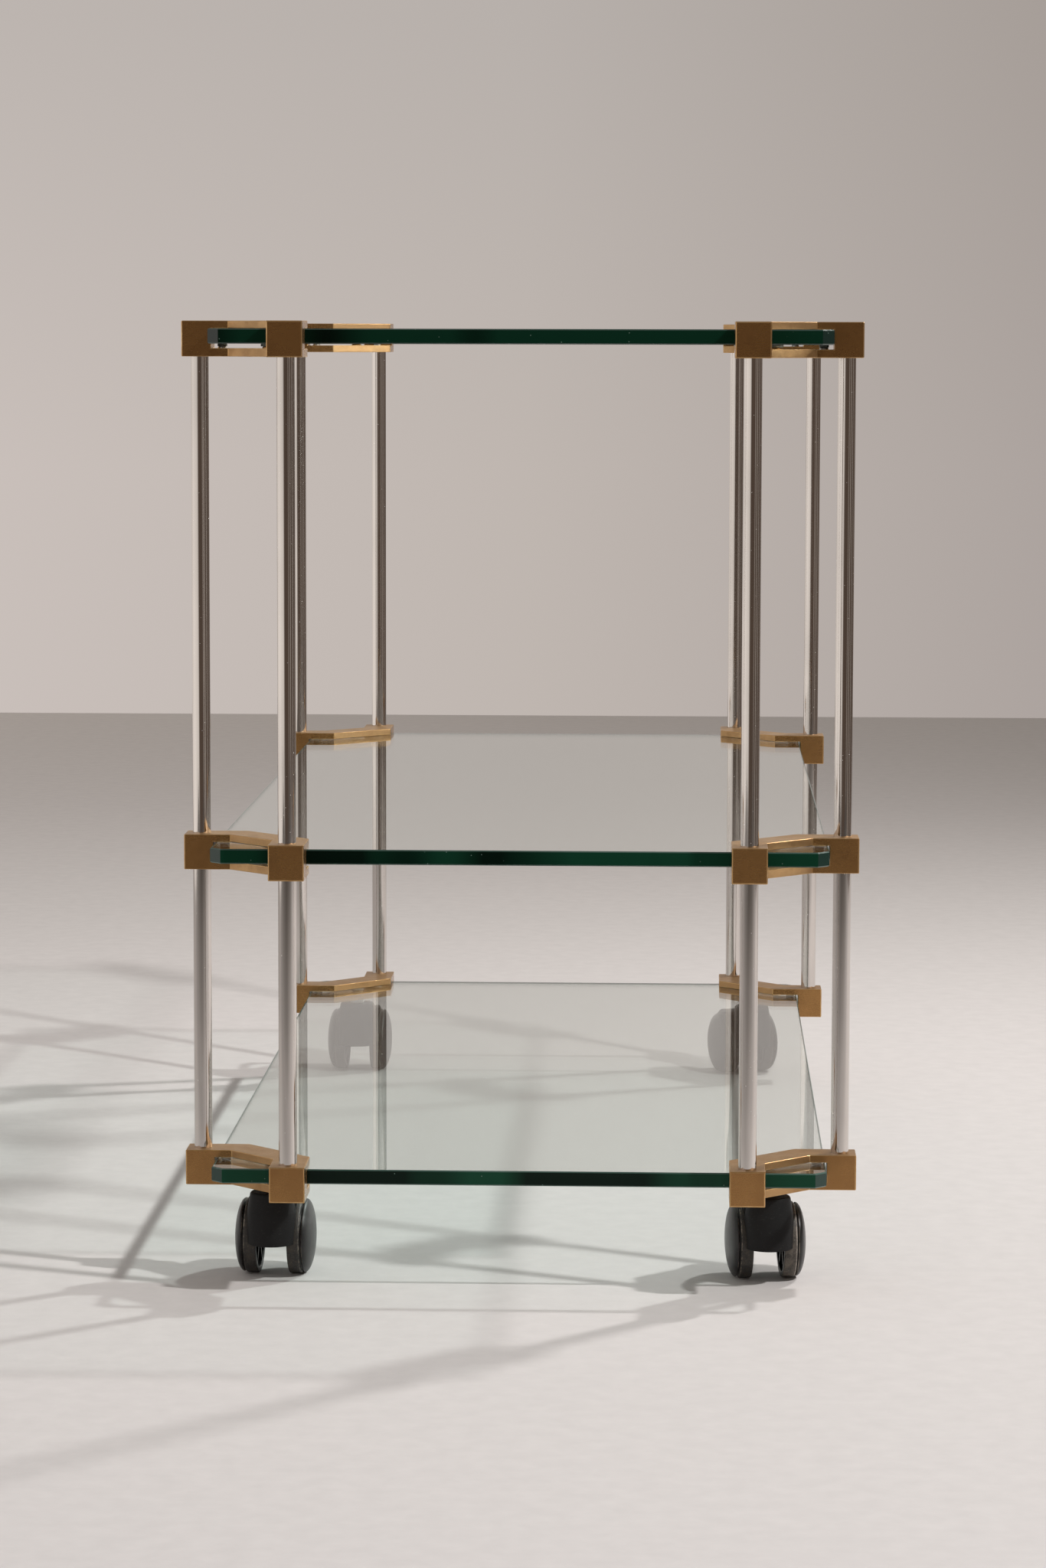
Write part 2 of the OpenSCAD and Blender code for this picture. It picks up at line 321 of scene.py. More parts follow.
def bake_modifiers(obj: Object) -> None:
    """Turns an object's modifiers into a plain mesh and removes them.

    Args:
        obj: The object to change.
    """
    bpy.context.view_layer.update()
    depsgraph = bpy.context.evaluated_depsgraph_get()
    mesh = bpy.data.meshes.new_from_object(
        obj.evaluated_get(depsgraph), preserve_all_data_layers=True, depsgraph=depsgraph
    )
    old = obj.data
    obj.modifiers.clear()
    obj.data = mesh
    bpy.data.meshes.remove(old)


def discard(obj: Object) -> None:
    """Removes a part that only served as a tool or a pattern.

    Args:
        obj: The object to remove.
    """
    mesh = obj.data
    bpy.data.objects.remove(obj)
    bpy.data.meshes.remove(mesh)


def combine(obj: Object, other: Solid, operation: str = "DIFFERENCE") -> None:
    """Joins an object and another solid, or cuts the solid out of it.

    Args:
        obj: The object to change.
        other: The other solid, which is used up.
        operation: "UNION" or "DIFFERENCE".
    """
    tool = make_object("tool", other)
    modifier = obj.modifiers.new("combine", "BOOLEAN")
    modifier.operation, modifier.solver, modifier.object = operation, "EXACT", tool
    bake_modifiers(obj)
    discard(tool)


def shade(obj: Object, sharp: float) -> None:
    """Smooth shading, with the edges past an angle in degrees kept sharp."""
    obj.data.shade_smooth()
    obj.data.set_sharp_from_angle(angle=math.radians(sharp))


def ease_edges(obj: Object, width: float, segments: int, sharp: float, **limits: Any) -> None:
    """Rounds a part's edges and shades it, so that large faces stay flat and only the edges turn the light.

    Args:
        obj: The part, in millimetres.
        width: Width of the rounding.
        segments: Steps across it.
        sharp: Angle in degrees past which an edge stays sharp.
        **limits: Bevel settings that say which edges are rounded.
    """
    bevel = obj.modifiers.new("ease", "BEVEL")
    bevel.width, bevel.segments, bevel.use_clamp_overlap = width, segments, True
    for key, value in limits.items():
        setattr(bevel, key, value)
    bake_modifiers(obj)
    shade(obj, sharp)
    flat = obj.modifiers.new("flat", "WEIGHTED_NORMAL")
    flat.mode, flat.weight, flat.keep_sharp = "FACE_AREA", 100, True
    bake_modifiers(obj)


def placed_copy(pattern: Object, name: str, offset: Vector, flip_x: bool = False) -> Object:
    """A copy of a part in its place, in metres, with the place in its mesh.

    Args:
        pattern: The part, in millimetres.
        name: Name of the copy.
        offset: Where the part's own origin goes, in millimetres.
        flip_x: Mirrors the part along X first.

    Returns:
        The copy, at the origin.
    """
    mesh = pattern.data.copy()
    mesh.name = name
    way = -MM if flip_x else MM
    mesh.transform(Matrix.Translation(offset * MM) @ Matrix.Diagonal((way, MM, MM, 1)))
    if flip_x:
        mesh.flip_normals()
    return link(name, mesh)


def install(obj: Object, body: str, nodes: Sequence[str] = ()) -> None:
    """Gives a finished piece its body and the nodes that it stands for.

    Args:
        obj: The piece, in its place.
        body: The CAD body that it rides on.
        nodes: The CAD nodes that it replaces.
    """
    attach(obj, body)
    if nodes:
        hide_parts(*nodes)
    LOG.info("%s: %d faces on %s", obj.name, len(obj.data.polygons), body)


def dress_node(name: str, finish: Material) -> None:
    """Gives a carried-over CAD node its finish.

    Args:
        name: The node.
        finish: The material.
    """
    obj = bpy.data.objects[name]
    if not obj.data.materials:
        obj.data.materials.append(finish)
    for slot in obj.material_slots:
        slot.material = finish
    LOG.info("%s: CAD node in %s", name, finish.name)


# ---------- Node trees ----------


class Nodes:
    """Short calls on a node tree, the same for materials, the world and geometry."""

    def __init__(self, tree: bpy.types.NodeTree) -> None:
        """Takes the tree."""
        self.tree = tree

    def node(self, kind: str, links: Mapping[Any, Any] | None = None, **settings: Any) -> bpy.types.Node:
        """Adds a node.

        Args:
            kind: Blender's name of the node.
            links: For inputs by name or number, the socket or value that goes there.
            **settings: Properties of the node.

        Returns:
            The node.
        """
        made = self.tree.nodes.new(kind)
        for key, value in settings.items():
            setattr(made, key, value)
        for key, value in (links or {}).items():
            if isinstance(value, Socket):
                self.tree.links.new(value, made.inputs[key])
            else:
                made.inputs[key].default_value = value
        return made

    def calc(self, operation: str, one: Any, two: Any) -> Socket:
        """One step of arithmetic on sockets or numbers, by Blender's name of the operation."""
        return self.node("ShaderNodeMath", {0: one, 1: two}, operation=operation).outputs[0]

    def span(self, value: Any, low: float, high: float, to_low: float = 0, to_high: float = 1) -> Socket:
        """Maps the range from low to high onto the one from to_low to to_high, clamped."""
        links = {0: value, 1: low, 2: high, 3: to_low, 4: to_high}
        return self.node("ShaderNodeMapRange", links).outputs[0]

    def blend(self, share: Any, one: Any, two: Any) -> Socket:
        """Mixes two colours, by the share of the second."""
        ends = [end if isinstance(end, Socket) else (*end, 1) for end in (one, two)]
        return self.node("ShaderNodeMix", {0: share, 6: ends[0], 7: ends[1]}, data_type="RGBA").outputs[2]

    def dimmed(self, colour: Any, share: Any) -> Socket:
        """A colour times a number."""
        return self.node("ShaderNodeVectorMath", {0: colour, "Scale": share}, operation="SCALE").outputs[0]

    def ramp(self, at: Socket, stops: Sequence[tuple[float, Colour]]) -> Socket:
        """A run of colours.

        Args:
            at: Where on the run, from 0 to 1.
            stops: Place and colour of each stop.

        Returns:
            The colour.
        """
        made = self.node("ShaderNodeValToRGB", {0: at})
        elements = made.color_ramp.elements
        while len(elements) < len(stops):
            elements.new(0.5)
        for element, (place, colour) in zip(elements, stops):
            element.position, element.color = place, (*colour, 1)
        return made.outputs[0]

    def rays(self, one: str, two: str) -> Socket:
        """1 for rays of two kinds, by the Light Path node's names for them, and 0 for the rest."""
        path = self.node("ShaderNodeLightPath").outputs
        return self.calc("MAXIMUM", path[one], path[two])


class Recipe(Nodes):
    """A Geometry Nodes tree with named inputs, run once on a mesh of points."""

    def __init__(self, name: str, inputs: Sequence[tuple[str, str]]) -> None:
        """Starts a tree, with the points as its first input and the finish as its last.

        Args:
            name: Name of the tree.
            inputs: Name and kind of socket of each input between them.
        """
        super().__init__(bpy.data.node_groups.new(name, "GeometryNodeTree"))
        for label, kind in (("Geometry", "Geometry"), *inputs, ("Finish", "Material")):
            self.tree.interface.new_socket(label, in_out="INPUT", socket_type=f"NodeSocket{kind}")
        self.tree.interface.new_socket("Geometry", in_out="OUTPUT", socket_type="NodeSocketGeometry")
        self.given = self.node("NodeGroupInput").outputs

    def upright(self, length: Socket) -> Socket:
        """The way up, by a length."""
        return self.node("ShaderNodeCombineXYZ", {"Z": length}).outputs[0]

    def finish(self, part: Socket, turn: Socket | None = None) -> None:
        """Sets the part on every point, realizes it and gives it its finish.

        Args:
            part: The part's geometry.
            turn: Rotation of each copy.
        """
        links = {"Points": self.given[0], "Instance": part}
        if turn is not None:
            links["Rotation"] = turn
        spread = self.node("GeometryNodeInstanceOnPoints", links)
        real = self.node("GeometryNodeRealizeInstances", {0: spread.outputs[0]})
        links = {"Geometry": real.outputs[0], "Material": self.given["Finish"]}
        dressed = self.node("GeometryNodeSetMaterial", links)
        self.node("NodeGroupOutput", {0: dressed.outputs[0]})

    def run(
        self, name: str, points: Sequence[Vector], values: Mapping[str, Any], sharp: float = 34.0
    ) -> Object:
        """Makes a plain mesh from the tree.

        Args:
            name: Name of the piece.
            points: Places of the copies, in millimetres.
            values: Values of the named inputs.
            sharp: Angle in degrees past which an edge is kept sharp.

        Returns:
            The piece, in metres, at the origin.
        """
        bm = bmesh.new()
        for p in points:
            bm.verts.new(p * MM)
        obj = make_object(name, bm)
        modifier = obj.modifiers.new("recipe", "NODES")
        modifier.node_group = self.tree
        for item in self.tree.interface.items_tree:
            if item.in_out == "INPUT" and item.name in values:
                modifier[item.identifier] = values[item.name]
        bake_modifiers(obj)
        bm = bmesh.new()
        bm.from_mesh(obj.data)
        bmesh.ops.remove_doubles(bm, verts=bm.verts, dist=1e-6)
        bmesh.ops.recalc_face_normals(bm, faces=bm.faces)
        bm.to_mesh(obj.data)
        bm.free()
        shade(obj, sharp)
        return obj


def tube_recipe() -> Recipe:
    """A hollow tube with eased ends, swept round a circle.

    Returns:
        The tree.
    """
    r = Recipe("Tube stack", [(label, "Float") for label in ("Diameter", "Wall", "Length", "Ease")])
    wall, length = r.given["Wall"], r.given["Length"]
    middle = r.calc("MULTIPLY", r.calc("SUBTRACT", r.given["Diameter"], wall), 0.5)
    ring = r.node("GeometryNodeCurvePrimitiveCircle", {"Resolution": 72, "Radius": middle})
    level = r.node("GeometryNodeSetCurveNormal", {"Curve": ring.outputs[0]}, mode="Z_UP")
    section = r.node("GeometryNodeCurvePrimitiveQuadrilateral", {"Width": wall, "Height": length})
    links = {"Curve": section.outputs[0], "Radius": r.given["Ease"], "Count": 3}
    eased = r.node("GeometryNodeFilletCurve", links, mode="POLY")
    links = {"Curve": level.outputs[0], "Profile Curve": eased.outputs[0]}
    swept = r.node("GeometryNodeCurveToMesh", links)
    links = {"Geometry": swept.outputs[0], "Translation": r.upright(r.calc("MULTIPLY", length, 0.5))}
    r.finish(r.node("GeometryNodeTransform", links).outputs[0])
    return r


def collar_recipe() -> Recipe:
    """A knurled collar: a star outline raised to its height.

    Returns:
        The tree.
    """
    sizes = (("Teeth", "Int"), ("Outer Radius", "Float"), ("Inner Radius", "Float"), ("Height", "Float"))
    r = Recipe("Knurled collar", sizes)
    links = {"Points": r.given["Teeth"], **{key: r.given[key] for key in ("Inner Radius", "Outer Radius")}}
    star = r.node("GeometryNodeCurveStar", links)
    face = r.node("GeometryNodeFillCurve", {"Curve": star.outputs[0]}, mode="NGONS").outputs[0]
    links = {"Mesh": face, "Offset": r.upright(r.given["Height"]), "Offset Scale": 1.0, "Individual": False}
    raised = r.node("GeometryNodeExtrudeMesh", links)
    under = r.node("GeometryNodeFlipFaces", {"Mesh": face})
    whole = r.node("GeometryNodeJoinGeometry", {0: raised.outputs["Mesh"]})
    r.tree.links.new(under.outputs[0], whole.inputs[0])
    r.finish(whole.outputs[0])
    return r


def repeat_recipe() -> Recipe:
    """A turned part set on every point, each at its own angle about the upright.

    Returns:
        The tree.
    """
    r = Recipe("Repeated part", (("Part", "Object"), ("Most turn", "Float"), ("Seed", "Int")))
    part = r.node("GeometryNodeObjectInfo", {"Object": r.given["Part"]})
    links = {"Seed": r.given["Seed"], 3: r.given["Most turn"]}
    angle = r.node("FunctionNodeRandomValue", links, data_type="FLOAT")
    r.finish(part.outputs["Geometry"], r.upright(angle.outputs[1]))
    return r


# ---------- Finishes ----------


class Surface(Nodes):
    """Node tree of one material, with short calls for the nodes that a finish needs."""

    def __init__(self, name: str) -> None:
        """Starts a material.

        Args:
            name: Name of the material.
        """
        self.material = bpy.data.materials.new(name)
        self.material.use_nodes = True
        super().__init__(self.material.node_tree)
        self.tree.nodes.clear()

    def place(self, scale: Sequence[float] = (1, 1, 1)) -> Socket:
        """Object coordinates, stretched along each axis."""
        coords = self.node("ShaderNodeTexCoord").outputs["Object"]
        return self.node("ShaderNodeMapping", {"Vector": coords, "Scale": tuple(scale)}).outputs[0]

    def along(self, axis: str) -> Socket:
        """The place along one axis, in metres."""
        return self.node("ShaderNodeSeparateXYZ", {0: self.place()}).outputs[axis]

    def noise(
        self, scale: float, detail: float = 4, stretch: Sequence[float] = (1, 1, 1), rough: float = 0.55
    ) -> Socket:
        """Cloudy variation about 0.5: waves per metre, finer layers, stretch, strength of the layers."""
        links = {"Vector": self.place(stretch), "Scale": scale, "Detail": detail, "Roughness": rough}
        return self.node("ShaderNodeTexNoise", links).outputs["Fac"]

    def clouds(self, low: float, high: float, scale: float, detail: float = 4, most: float = 1) -> Socket:
        """Cloudy variation, spread from 0 to its most between two levels of the noise."""
        return self.span(self.noise(scale, detail), low, high, 0, most)

    def specks(self, scale: float, size: float, stretch: Sequence[float] = (1, 1, 1)) -> Socket:
        """1 on small scattered spots and 0 between: spots per metre, radius as a share of their cell."""
        cells = self.node("ShaderNodeTexVoronoi", {"Vector": self.place(stretch), "Scale": scale})
        return self.span(cells.outputs["Distance"], size * 0.6, size, 1, 0)

    def share(self, value: Socket, part: float) -> Socket:
        """A part of a value."""
        return self.calc("MULTIPLY", value, part)

    def bump(self, height: Socket, depth: float, strength: float) -> Socket:
        """Normal of a relief from its height, from 0 to 1, and its depth in metres."""
        links = {"Height": height, "Distance": depth, "Strength": strength}
        return self.node("ShaderNodeBump", links).outputs[0]

    def close(self, shader: Socket) -> Material:
        """Links the shader to the output and gives the material."""
        self.node("ShaderNodeOutputMaterial", {"Surface": shader})
        return self.material

    def principled(self, base: Any, rough: Any, **inputs: Any) -> Material:
        """Ends the tree with a principled shader.

        Args:
            base: Base colour.
            rough: Roughness.
            **inputs: Other inputs, with an underscore for each space in their names.

        Returns:
            The material.
        """
        links = {key.replace("_", " "): value for key, value in inputs.items()}
        shader = self.node("ShaderNodeBsdfPrincipled", {"Base Color": base, "Roughness": rough, **links})
        return self.close(shader.outputs[0])


def darker(colour: Colour, share: float) -> Colour:
    """A colour times a share."""
    return (share * colour[0], share * colour[1], share * colour[2])


@dataclass(frozen=True)
class CastBrass:
    """Cast brass: satin, warm, with cloudy tarnish, small pits and grinding marks, and darker towards the
    floor.
    """

    name: str = "cast_brass"
    clean: Colour = (0.445, 0.240, 0.082)
    tarnish: Colour = (0.35, 0.180, 0.058)
    unpolished: Colour = (0.28, 0.140, 0.044)
    low_rough: float = 0.24
    high_rough: float = 0.33
    coat: float = 0.35
    stained: Colour = (0.28, 0.145, 0.050)
    pitted: Colour = (0.12, 0.07, 0.035)

    def build(self) -> Material:
        """Makes the material.

        Returns:
            The material.
        """
        s = Surface(self.name)
        clouds = s.clouds(0.38, 0.68, 42, 5)
        grain = s.noise(900, 3)
        marks = s.noise(260, 4, (1.0, 1.0, 6.0))
        pits = s.specks(210, 0.075)
        stain = s.span(s.noise(75, 6, rough=0.7), 0.52, 0.68, 0, 0.9)
        # Darker towards the floor: below 0.2 m the colour turns part way to the unpolished colour.
        low = s.span(s.along("Z"), 0.09, 0.20, 0.55, 0)
        base = s.blend(low, s.blend(clouds, self.clean, self.tarnish), self.unpolished)
        base = s.blend(s.share(stain, 0.45), base, self.stained)
        base = s.blend(s.share(pits, 0.4), base, self.pitted)
        satin = s.span(clouds, 0, 1, self.low_rough, self.high_rough)
        rough = s.calc("ADD", satin, s.span(marks, 0.35, 0.65, -0.02, 0.03))
        raised = s.calc("ADD", s.share(grain, 0.14), s.share(marks, 0.16))
        relief = s.bump(s.calc("SUBTRACT", raised, s.share(pits, 0.8)), 0.00002, 0.08)
        coat = {"Coat_Weight": self.coat, "Coat_Roughness": 0.28}
        return s.principled(base, rough, Metallic=0.92, Normal=relief, **coat)


@dataclass(frozen=True)
class RubbedBrass:
    """Brass worn bright along the edges."""

    name: str = "rubbed_brass"
    colour: Colour = (0.58, 0.38, 0.18)
    darkest: Colour = (0.47, 0.27, 0.11)

    def build(self) -> Material:
        """Makes the material.

        Returns:
            The material.
        """
        s = Surface(self.name)
        worn = s.clouds(0.35, 0.65, 120)
        return s.principled(
            s.blend(worn, self.colour, self.darkest), s.span(worn, 0, 1, 0.30, 0.42), Metallic=1.0
        )


@dataclass(frozen=True)
class PolishedNickel:
    """Polished nickel tube with faint draw lines along it and small specks."""

    name: str = "polished_nickel"
    colour: Colour = (0.62, 0.582, 0.552)
    speck: Colour = (0.92, 0.90, 0.87)

    def build(self) -> Material:
        """Makes the material.

        Returns:
            The material.
        """
        s = Surface(self.name)
        lines = s.noise(900, 3, (1, 1, 0.012))
        haze = s.span(s.noise(22, 4, (1, 1, 0.35)), 0.42, 0.66)
        specks = s.specks(210, 0.07, (1, 1, 0.8))
        base = s.blend(haze, self.colour, darker(self.colour, 0.88))
        base = s.blend(s.share(specks, 0.8), base, self.speck)
        drawn = s.calc("ADD", s.span(lines, 0.3, 0.7, -0.01, 0.03), s.share(specks, 0.35))
        rough = s.calc("ADD", s.span(haze, 0, 1, 0.055, 0.11), drawn)
        return s.principled(base, rough, Metallic=1.0, Normal=s.bump(lines, 0.00001, 0.35))


@dataclass(frozen=True)
class ShelfGlass:
    """Clear float glass with a slight green cast, which lets the lamps through."""

    name: str = "shelf_glass"
    tint: Colour = (0.915, 0.965, 0.943)
    shadow: Colour = (0.925, 0.958, 0.952)

    def build(self) -> Material:
        """Makes the material.

        Returns:
            The material.
        """
        s = Surface(self.name)
        dust = s.clouds(0.45, 0.75, 6, 5, 0.003)
        looks = {"Base Color": (*self.tint, 1), "Roughness": dust, "IOR": 1.5, "Transmission Weight": 1.0}
        glass = s.node("ShaderNodeBsdfPrincipled", looks).outputs[0]
        clear = s.node("ShaderNodeBsdfTransparent", {"Color": (*self.shadow, 1)}).outputs[0]
        lit = s.rays("Is Shadow Ray", "Is Diffuse Ray")
        return s.close(s.node("ShaderNodeMixShader", {0: lit, 1: glass, 2: clear}).outputs[0])


@dataclass(frozen=True)
class GlassEdge:
    """Edge of thick float glass, where the green gathers. Seen from inside the glass it is painted pale, and
    it is painted brighter on the lower shelves than on the top one: painted light.
    """

    name: str = "glass_edge"
    deep: Colour = (0.0010, 0.006, 0.0034)
    lighter: Colour = (0.004, 0.034, 0.018)
    # Pale colour of the edge seen from inside the glass: painted light in place of the light that comes
    # through the edge.
    inner: Colour = (0.10, 0.145, 0.13)
    chip: Colour = (0.16, 0.24, 0.21)
    rough: float = 0.06
    gloss: float = 0.12

    def build(self) -> Material:
        """Makes the material.

        Returns:
            The material.
        """
        s = Surface(self.name)
        green = s.blend(s.span(s.noise(6.5, 2, (1, 1, 0.1)), 0.44, 0.50), self.deep, self.lighter)
        # Painted light: the edge is brighter on the lower shelves and darker on the top one.
        base = s.dimmed(green, s.span(s.along("Z"), 0.07, 0.62, 1.6, 0.75))
        # Painted light: from inside the glass the edge shows the pale inner colour.
        base = s.blend(s.node("ShaderNodeNewGeometry").outputs["Backfacing"], base, self.inner)
        base = s.blend(s.specks(160, 0.06), base, self.chip)
        rough = s.span(s.noise(300, 3), 0.3, 0.7, self.rough * 0.7, self.rough * 1.4)
        return s.principled(base, rough, IOR=1.5, Specular_IOR_Level=self.gloss)


@dataclass(frozen=True)
class BlackNylon:
    """Moulded black nylon: satin, slightly dusty, with a fine moulded grain."""

    name: str = "black_nylon"
    colour: Colour = (0.014, 0.014, 0.015)
    dust: Colour = (0.060, 0.058, 0.054)
    scuffed: Colour = (0.12, 0.115, 0.11)
    dust_share: float = 0.15
    rough: float = 0.34
    gloss: float = 0.45

    def build(self) -> Material:
        """Makes the material.

        Returns:
            The material.
        """
        s = Surface(self.name)
        film = s.span(s.noise(55, 6, rough=0.65), 0.42, 0.72, 0, self.dust_share)
        scuffs = s.span(s.noise(320, 5, (1, 3, 3)), 0.60, 0.70, 0, 0.35)
        base = s.blend(s.share(scuffs, 0.35), s.blend(film, self.colour, self.dust), self.scuffed)
        dull = s.span(film, 0, 0.25, self.rough, self.rough + 0.2)
        rough = s.calc("ADD", dull, s.share(scuffs, 0.3))
        relief = s.bump(s.noise(1400, 2), 0.00002, 0.4)
        return s.principled(base, rough, Specular_IOR_Level=self.gloss, Normal=relief)


@dataclass(frozen=True)
class WornTread:
    """Tread of a wheel: rolled matt, with dust and grit pressed in."""

    name: str = "worn_tread"
    clean: Colour = (0.014, 0.013, 0.012)
    dusty: Colour = (0.058, 0.050, 0.040)
    grit: Colour = (0.15, 0.130, 0.105)
    cover: Point = (0.42, 0.68)

    def build(self) -> Material:
        """Makes the material.

        Returns:
            The material.
        """
        s = Surface(self.name)
        dirt = s.span(s.noise(190, 6, rough=0.7), *self.cover)
        grit = s.span(s.noise(1500, 3, rough=0.75), 0.57, 0.68)
        base = s.blend(s.share(grit, 0.55), s.blend(dirt, self.clean, self.dusty), self.grit)
        height = s.calc("ADD", s.noise(600, 5), s.share(grit, 0.4))
        return s.principled(base, s.span(dirt, 0, 1, 0.55, 0.85), Normal=s.bump(height, 0.00012, 0.8))


@dataclass(frozen=True)
class ZincSteel:
    """Zinc-plated steel with a faint frosted spangle."""

    name: str = "zinc_steel"
    colour: Colour = (0.70, 0.69, 0.67)
    grime: Colour = (0.22, 0.20, 0.18)
    rough: float = 0.32

    def build(self) -> Material:
        """Makes the material.

        Returns:
            The material.
        """
        s = Surface(self.name)
        frost = s.clouds(0.35, 0.65, 500, 5)
        base = s.blend(frost, self.colour, darker(self.colour, 0.82))
        base = s.blend(s.clouds(0.52, 0.72, 160, most=0.5), base, self.grime)
        rough = s.span(frost, 0, 1, self.rough * 0.8, self.rough * 1.3)
        return s.principled(base, rough, Metallic=1.0, Normal=s.bump(frost, 0.00001, 0.5))


@dataclass(frozen=True)
class GreyRubber:
    """Grey rubber pad, matt and a little mottled."""

    name: str = "grey_rubber"
    colour: Colour = (0.17, 0.19, 0.185)

    def build(self) -> Material:
        """Makes the material.

        Returns:
            The material.
        """
        s = Surface(self.name)
        cloud = s.clouds(0.35, 0.65, 420)
        base = s.blend(cloud, self.colour, darker(self.colour, 0.7))
        return s.principled(base, s.span(cloud, 0, 1, 0.6, 0.8), Normal=s.bump(cloud, 0.00003, 0.5))


class Finishes:
    """All finishes of the trolley, each made once."""

    def __init__(self) -> None:
        """Makes them in order."""
        self.brass = CastBrass().build()
        # Filed brass for top, bottom and diagonal faces: rougher, as filed faces are, and paler and yellower
        # as a painted highlight of the lamps.
        self.filed = CastBrass(
            "filed_brass", (0.52, 0.325, 0.152), (0.43, 0.257, 0.115), (0.33, 0.182, 0.072), 0.42, 0.54, 0.20
        ).build()
        self.rubbed = RubbedBrass().build()
        self.nickel = PolishedNickel().build()
        self.glass = ShelfGlass().build()
        self.edge = GlassEdge().build()
        self.corner = GlassEdge(
            "glass_corner", (0.005, 0.016, 0.012), (0.012, 0.030, 0.024), rough=0.07, gloss=0.3
        ).build()
        self.arris = GlassEdge(
            "glass_arris", (0.020, 0.045, 0.036), (0.040, 0.075, 0.062), rough=0.16, gloss=0.5
        ).build()
        self.housing = BlackNylon(
            "black_nylon", (0.022, 0.022, 0.0225), dust_share=0.06, rough=0.42, gloss=0.03
        ).build()
        self.dome = BlackNylon("wheel_nylon", (0.009, 0.009, 0.0095)).build()
        self.tread = WornTread().build()
        self.rim = WornTread(
            "worn_rim", (0.016, 0.015, 0.013), (0.26, 0.225, 0.185), (0.34, 0.30, 0.25), (0.47, 0.62)
        ).build()
        self.dusty_tread = WornTread(
            "dusty_tread", (0.030, 0.027, 0.023), (0.125, 0.108, 0.090), (0.32, 0.28, 0.235), (0.40, 0.60)
        ).build()
        self.dusty_rim = WornTread(
            "dusty_rim", (0.045, 0.041, 0.036), (0.42, 0.38, 0.33), (0.50, 0.46, 0.41), (0.36, 0.56)
        ).build()
        self.zinc = ZincSteel().build()
        self.rubber = GreyRubber().build()


# ---------- Sub-assemblies ----------


@dataclass
class Shelves:
    """Three glass shelves with cut corners and polished arrises."""

    finishes: Finishes
    heights: Heights
    width: float = 406.4
    length: float = 856.0
    thick: float = 10.0
    over_underside: float = 8.5
    corner_cut: float = 7.5
    arris: float = 0.8
    seat_gap: float = 0.03

    def plan(self, inset: float) -> list[Point]:
        """Outline of a shelf, drawn in by a distance.

        Args:
            inset: The distance.

        Returns:
            Eight corners, from the front edge round.
        """
        x, y = self.width / 2 - inset, self.length / 2 - inset
        cut = self.corner_cut - inset * (2 - math.sqrt(2))
        return [
            (-x + cut, -y), (x - cut, -y), (x, -y + cut), (x, y - cut),
            (x - cut, y), (-x + cut, y), (-x, y - cut), (-x, -y + cut),
        ]

    def build(self) -> None:
        """Makes the three shelves."""
        f = self.finishes
        edge, corner, arris = 1, 2, 3
        for tier in Tier:
            low = self.heights.tiers[tier.value] + self.over_underside + self.seat_gap
            high = low + self.thick - 2 * self.seat_gap
            drawn = (self.arris, low), (0, low + self.arris), (0, high - self.arris), (self.arris, high)
            bm = bmesh.new()
            layers = [
                [bm.verts.new((x * MM, y * MM, z * MM)) for x, y in self.plan(inset)] for inset, z in drawn
            ]
            bm.faces.new(list(reversed(layers[0])))
            bm.faces.new(layers[-1])
            for level, (one, two) in enumerate(zip(layers, layers[1:])):
                for i, face in enumerate(close_wall(bm, one, two)):
                    face.material_index = (corner if i % 2 else edge) if level == 1 else arris
            bmesh.ops.recalc_face_normals(bm, faces=bm.faces)
            shelf = make_object(f"shelf_glass_{tier.label}", bm, (f.glass, f.edge, f.corner, f.arris))
            install(shelf, "root", [f"glass_shelf_{tier.label}"])


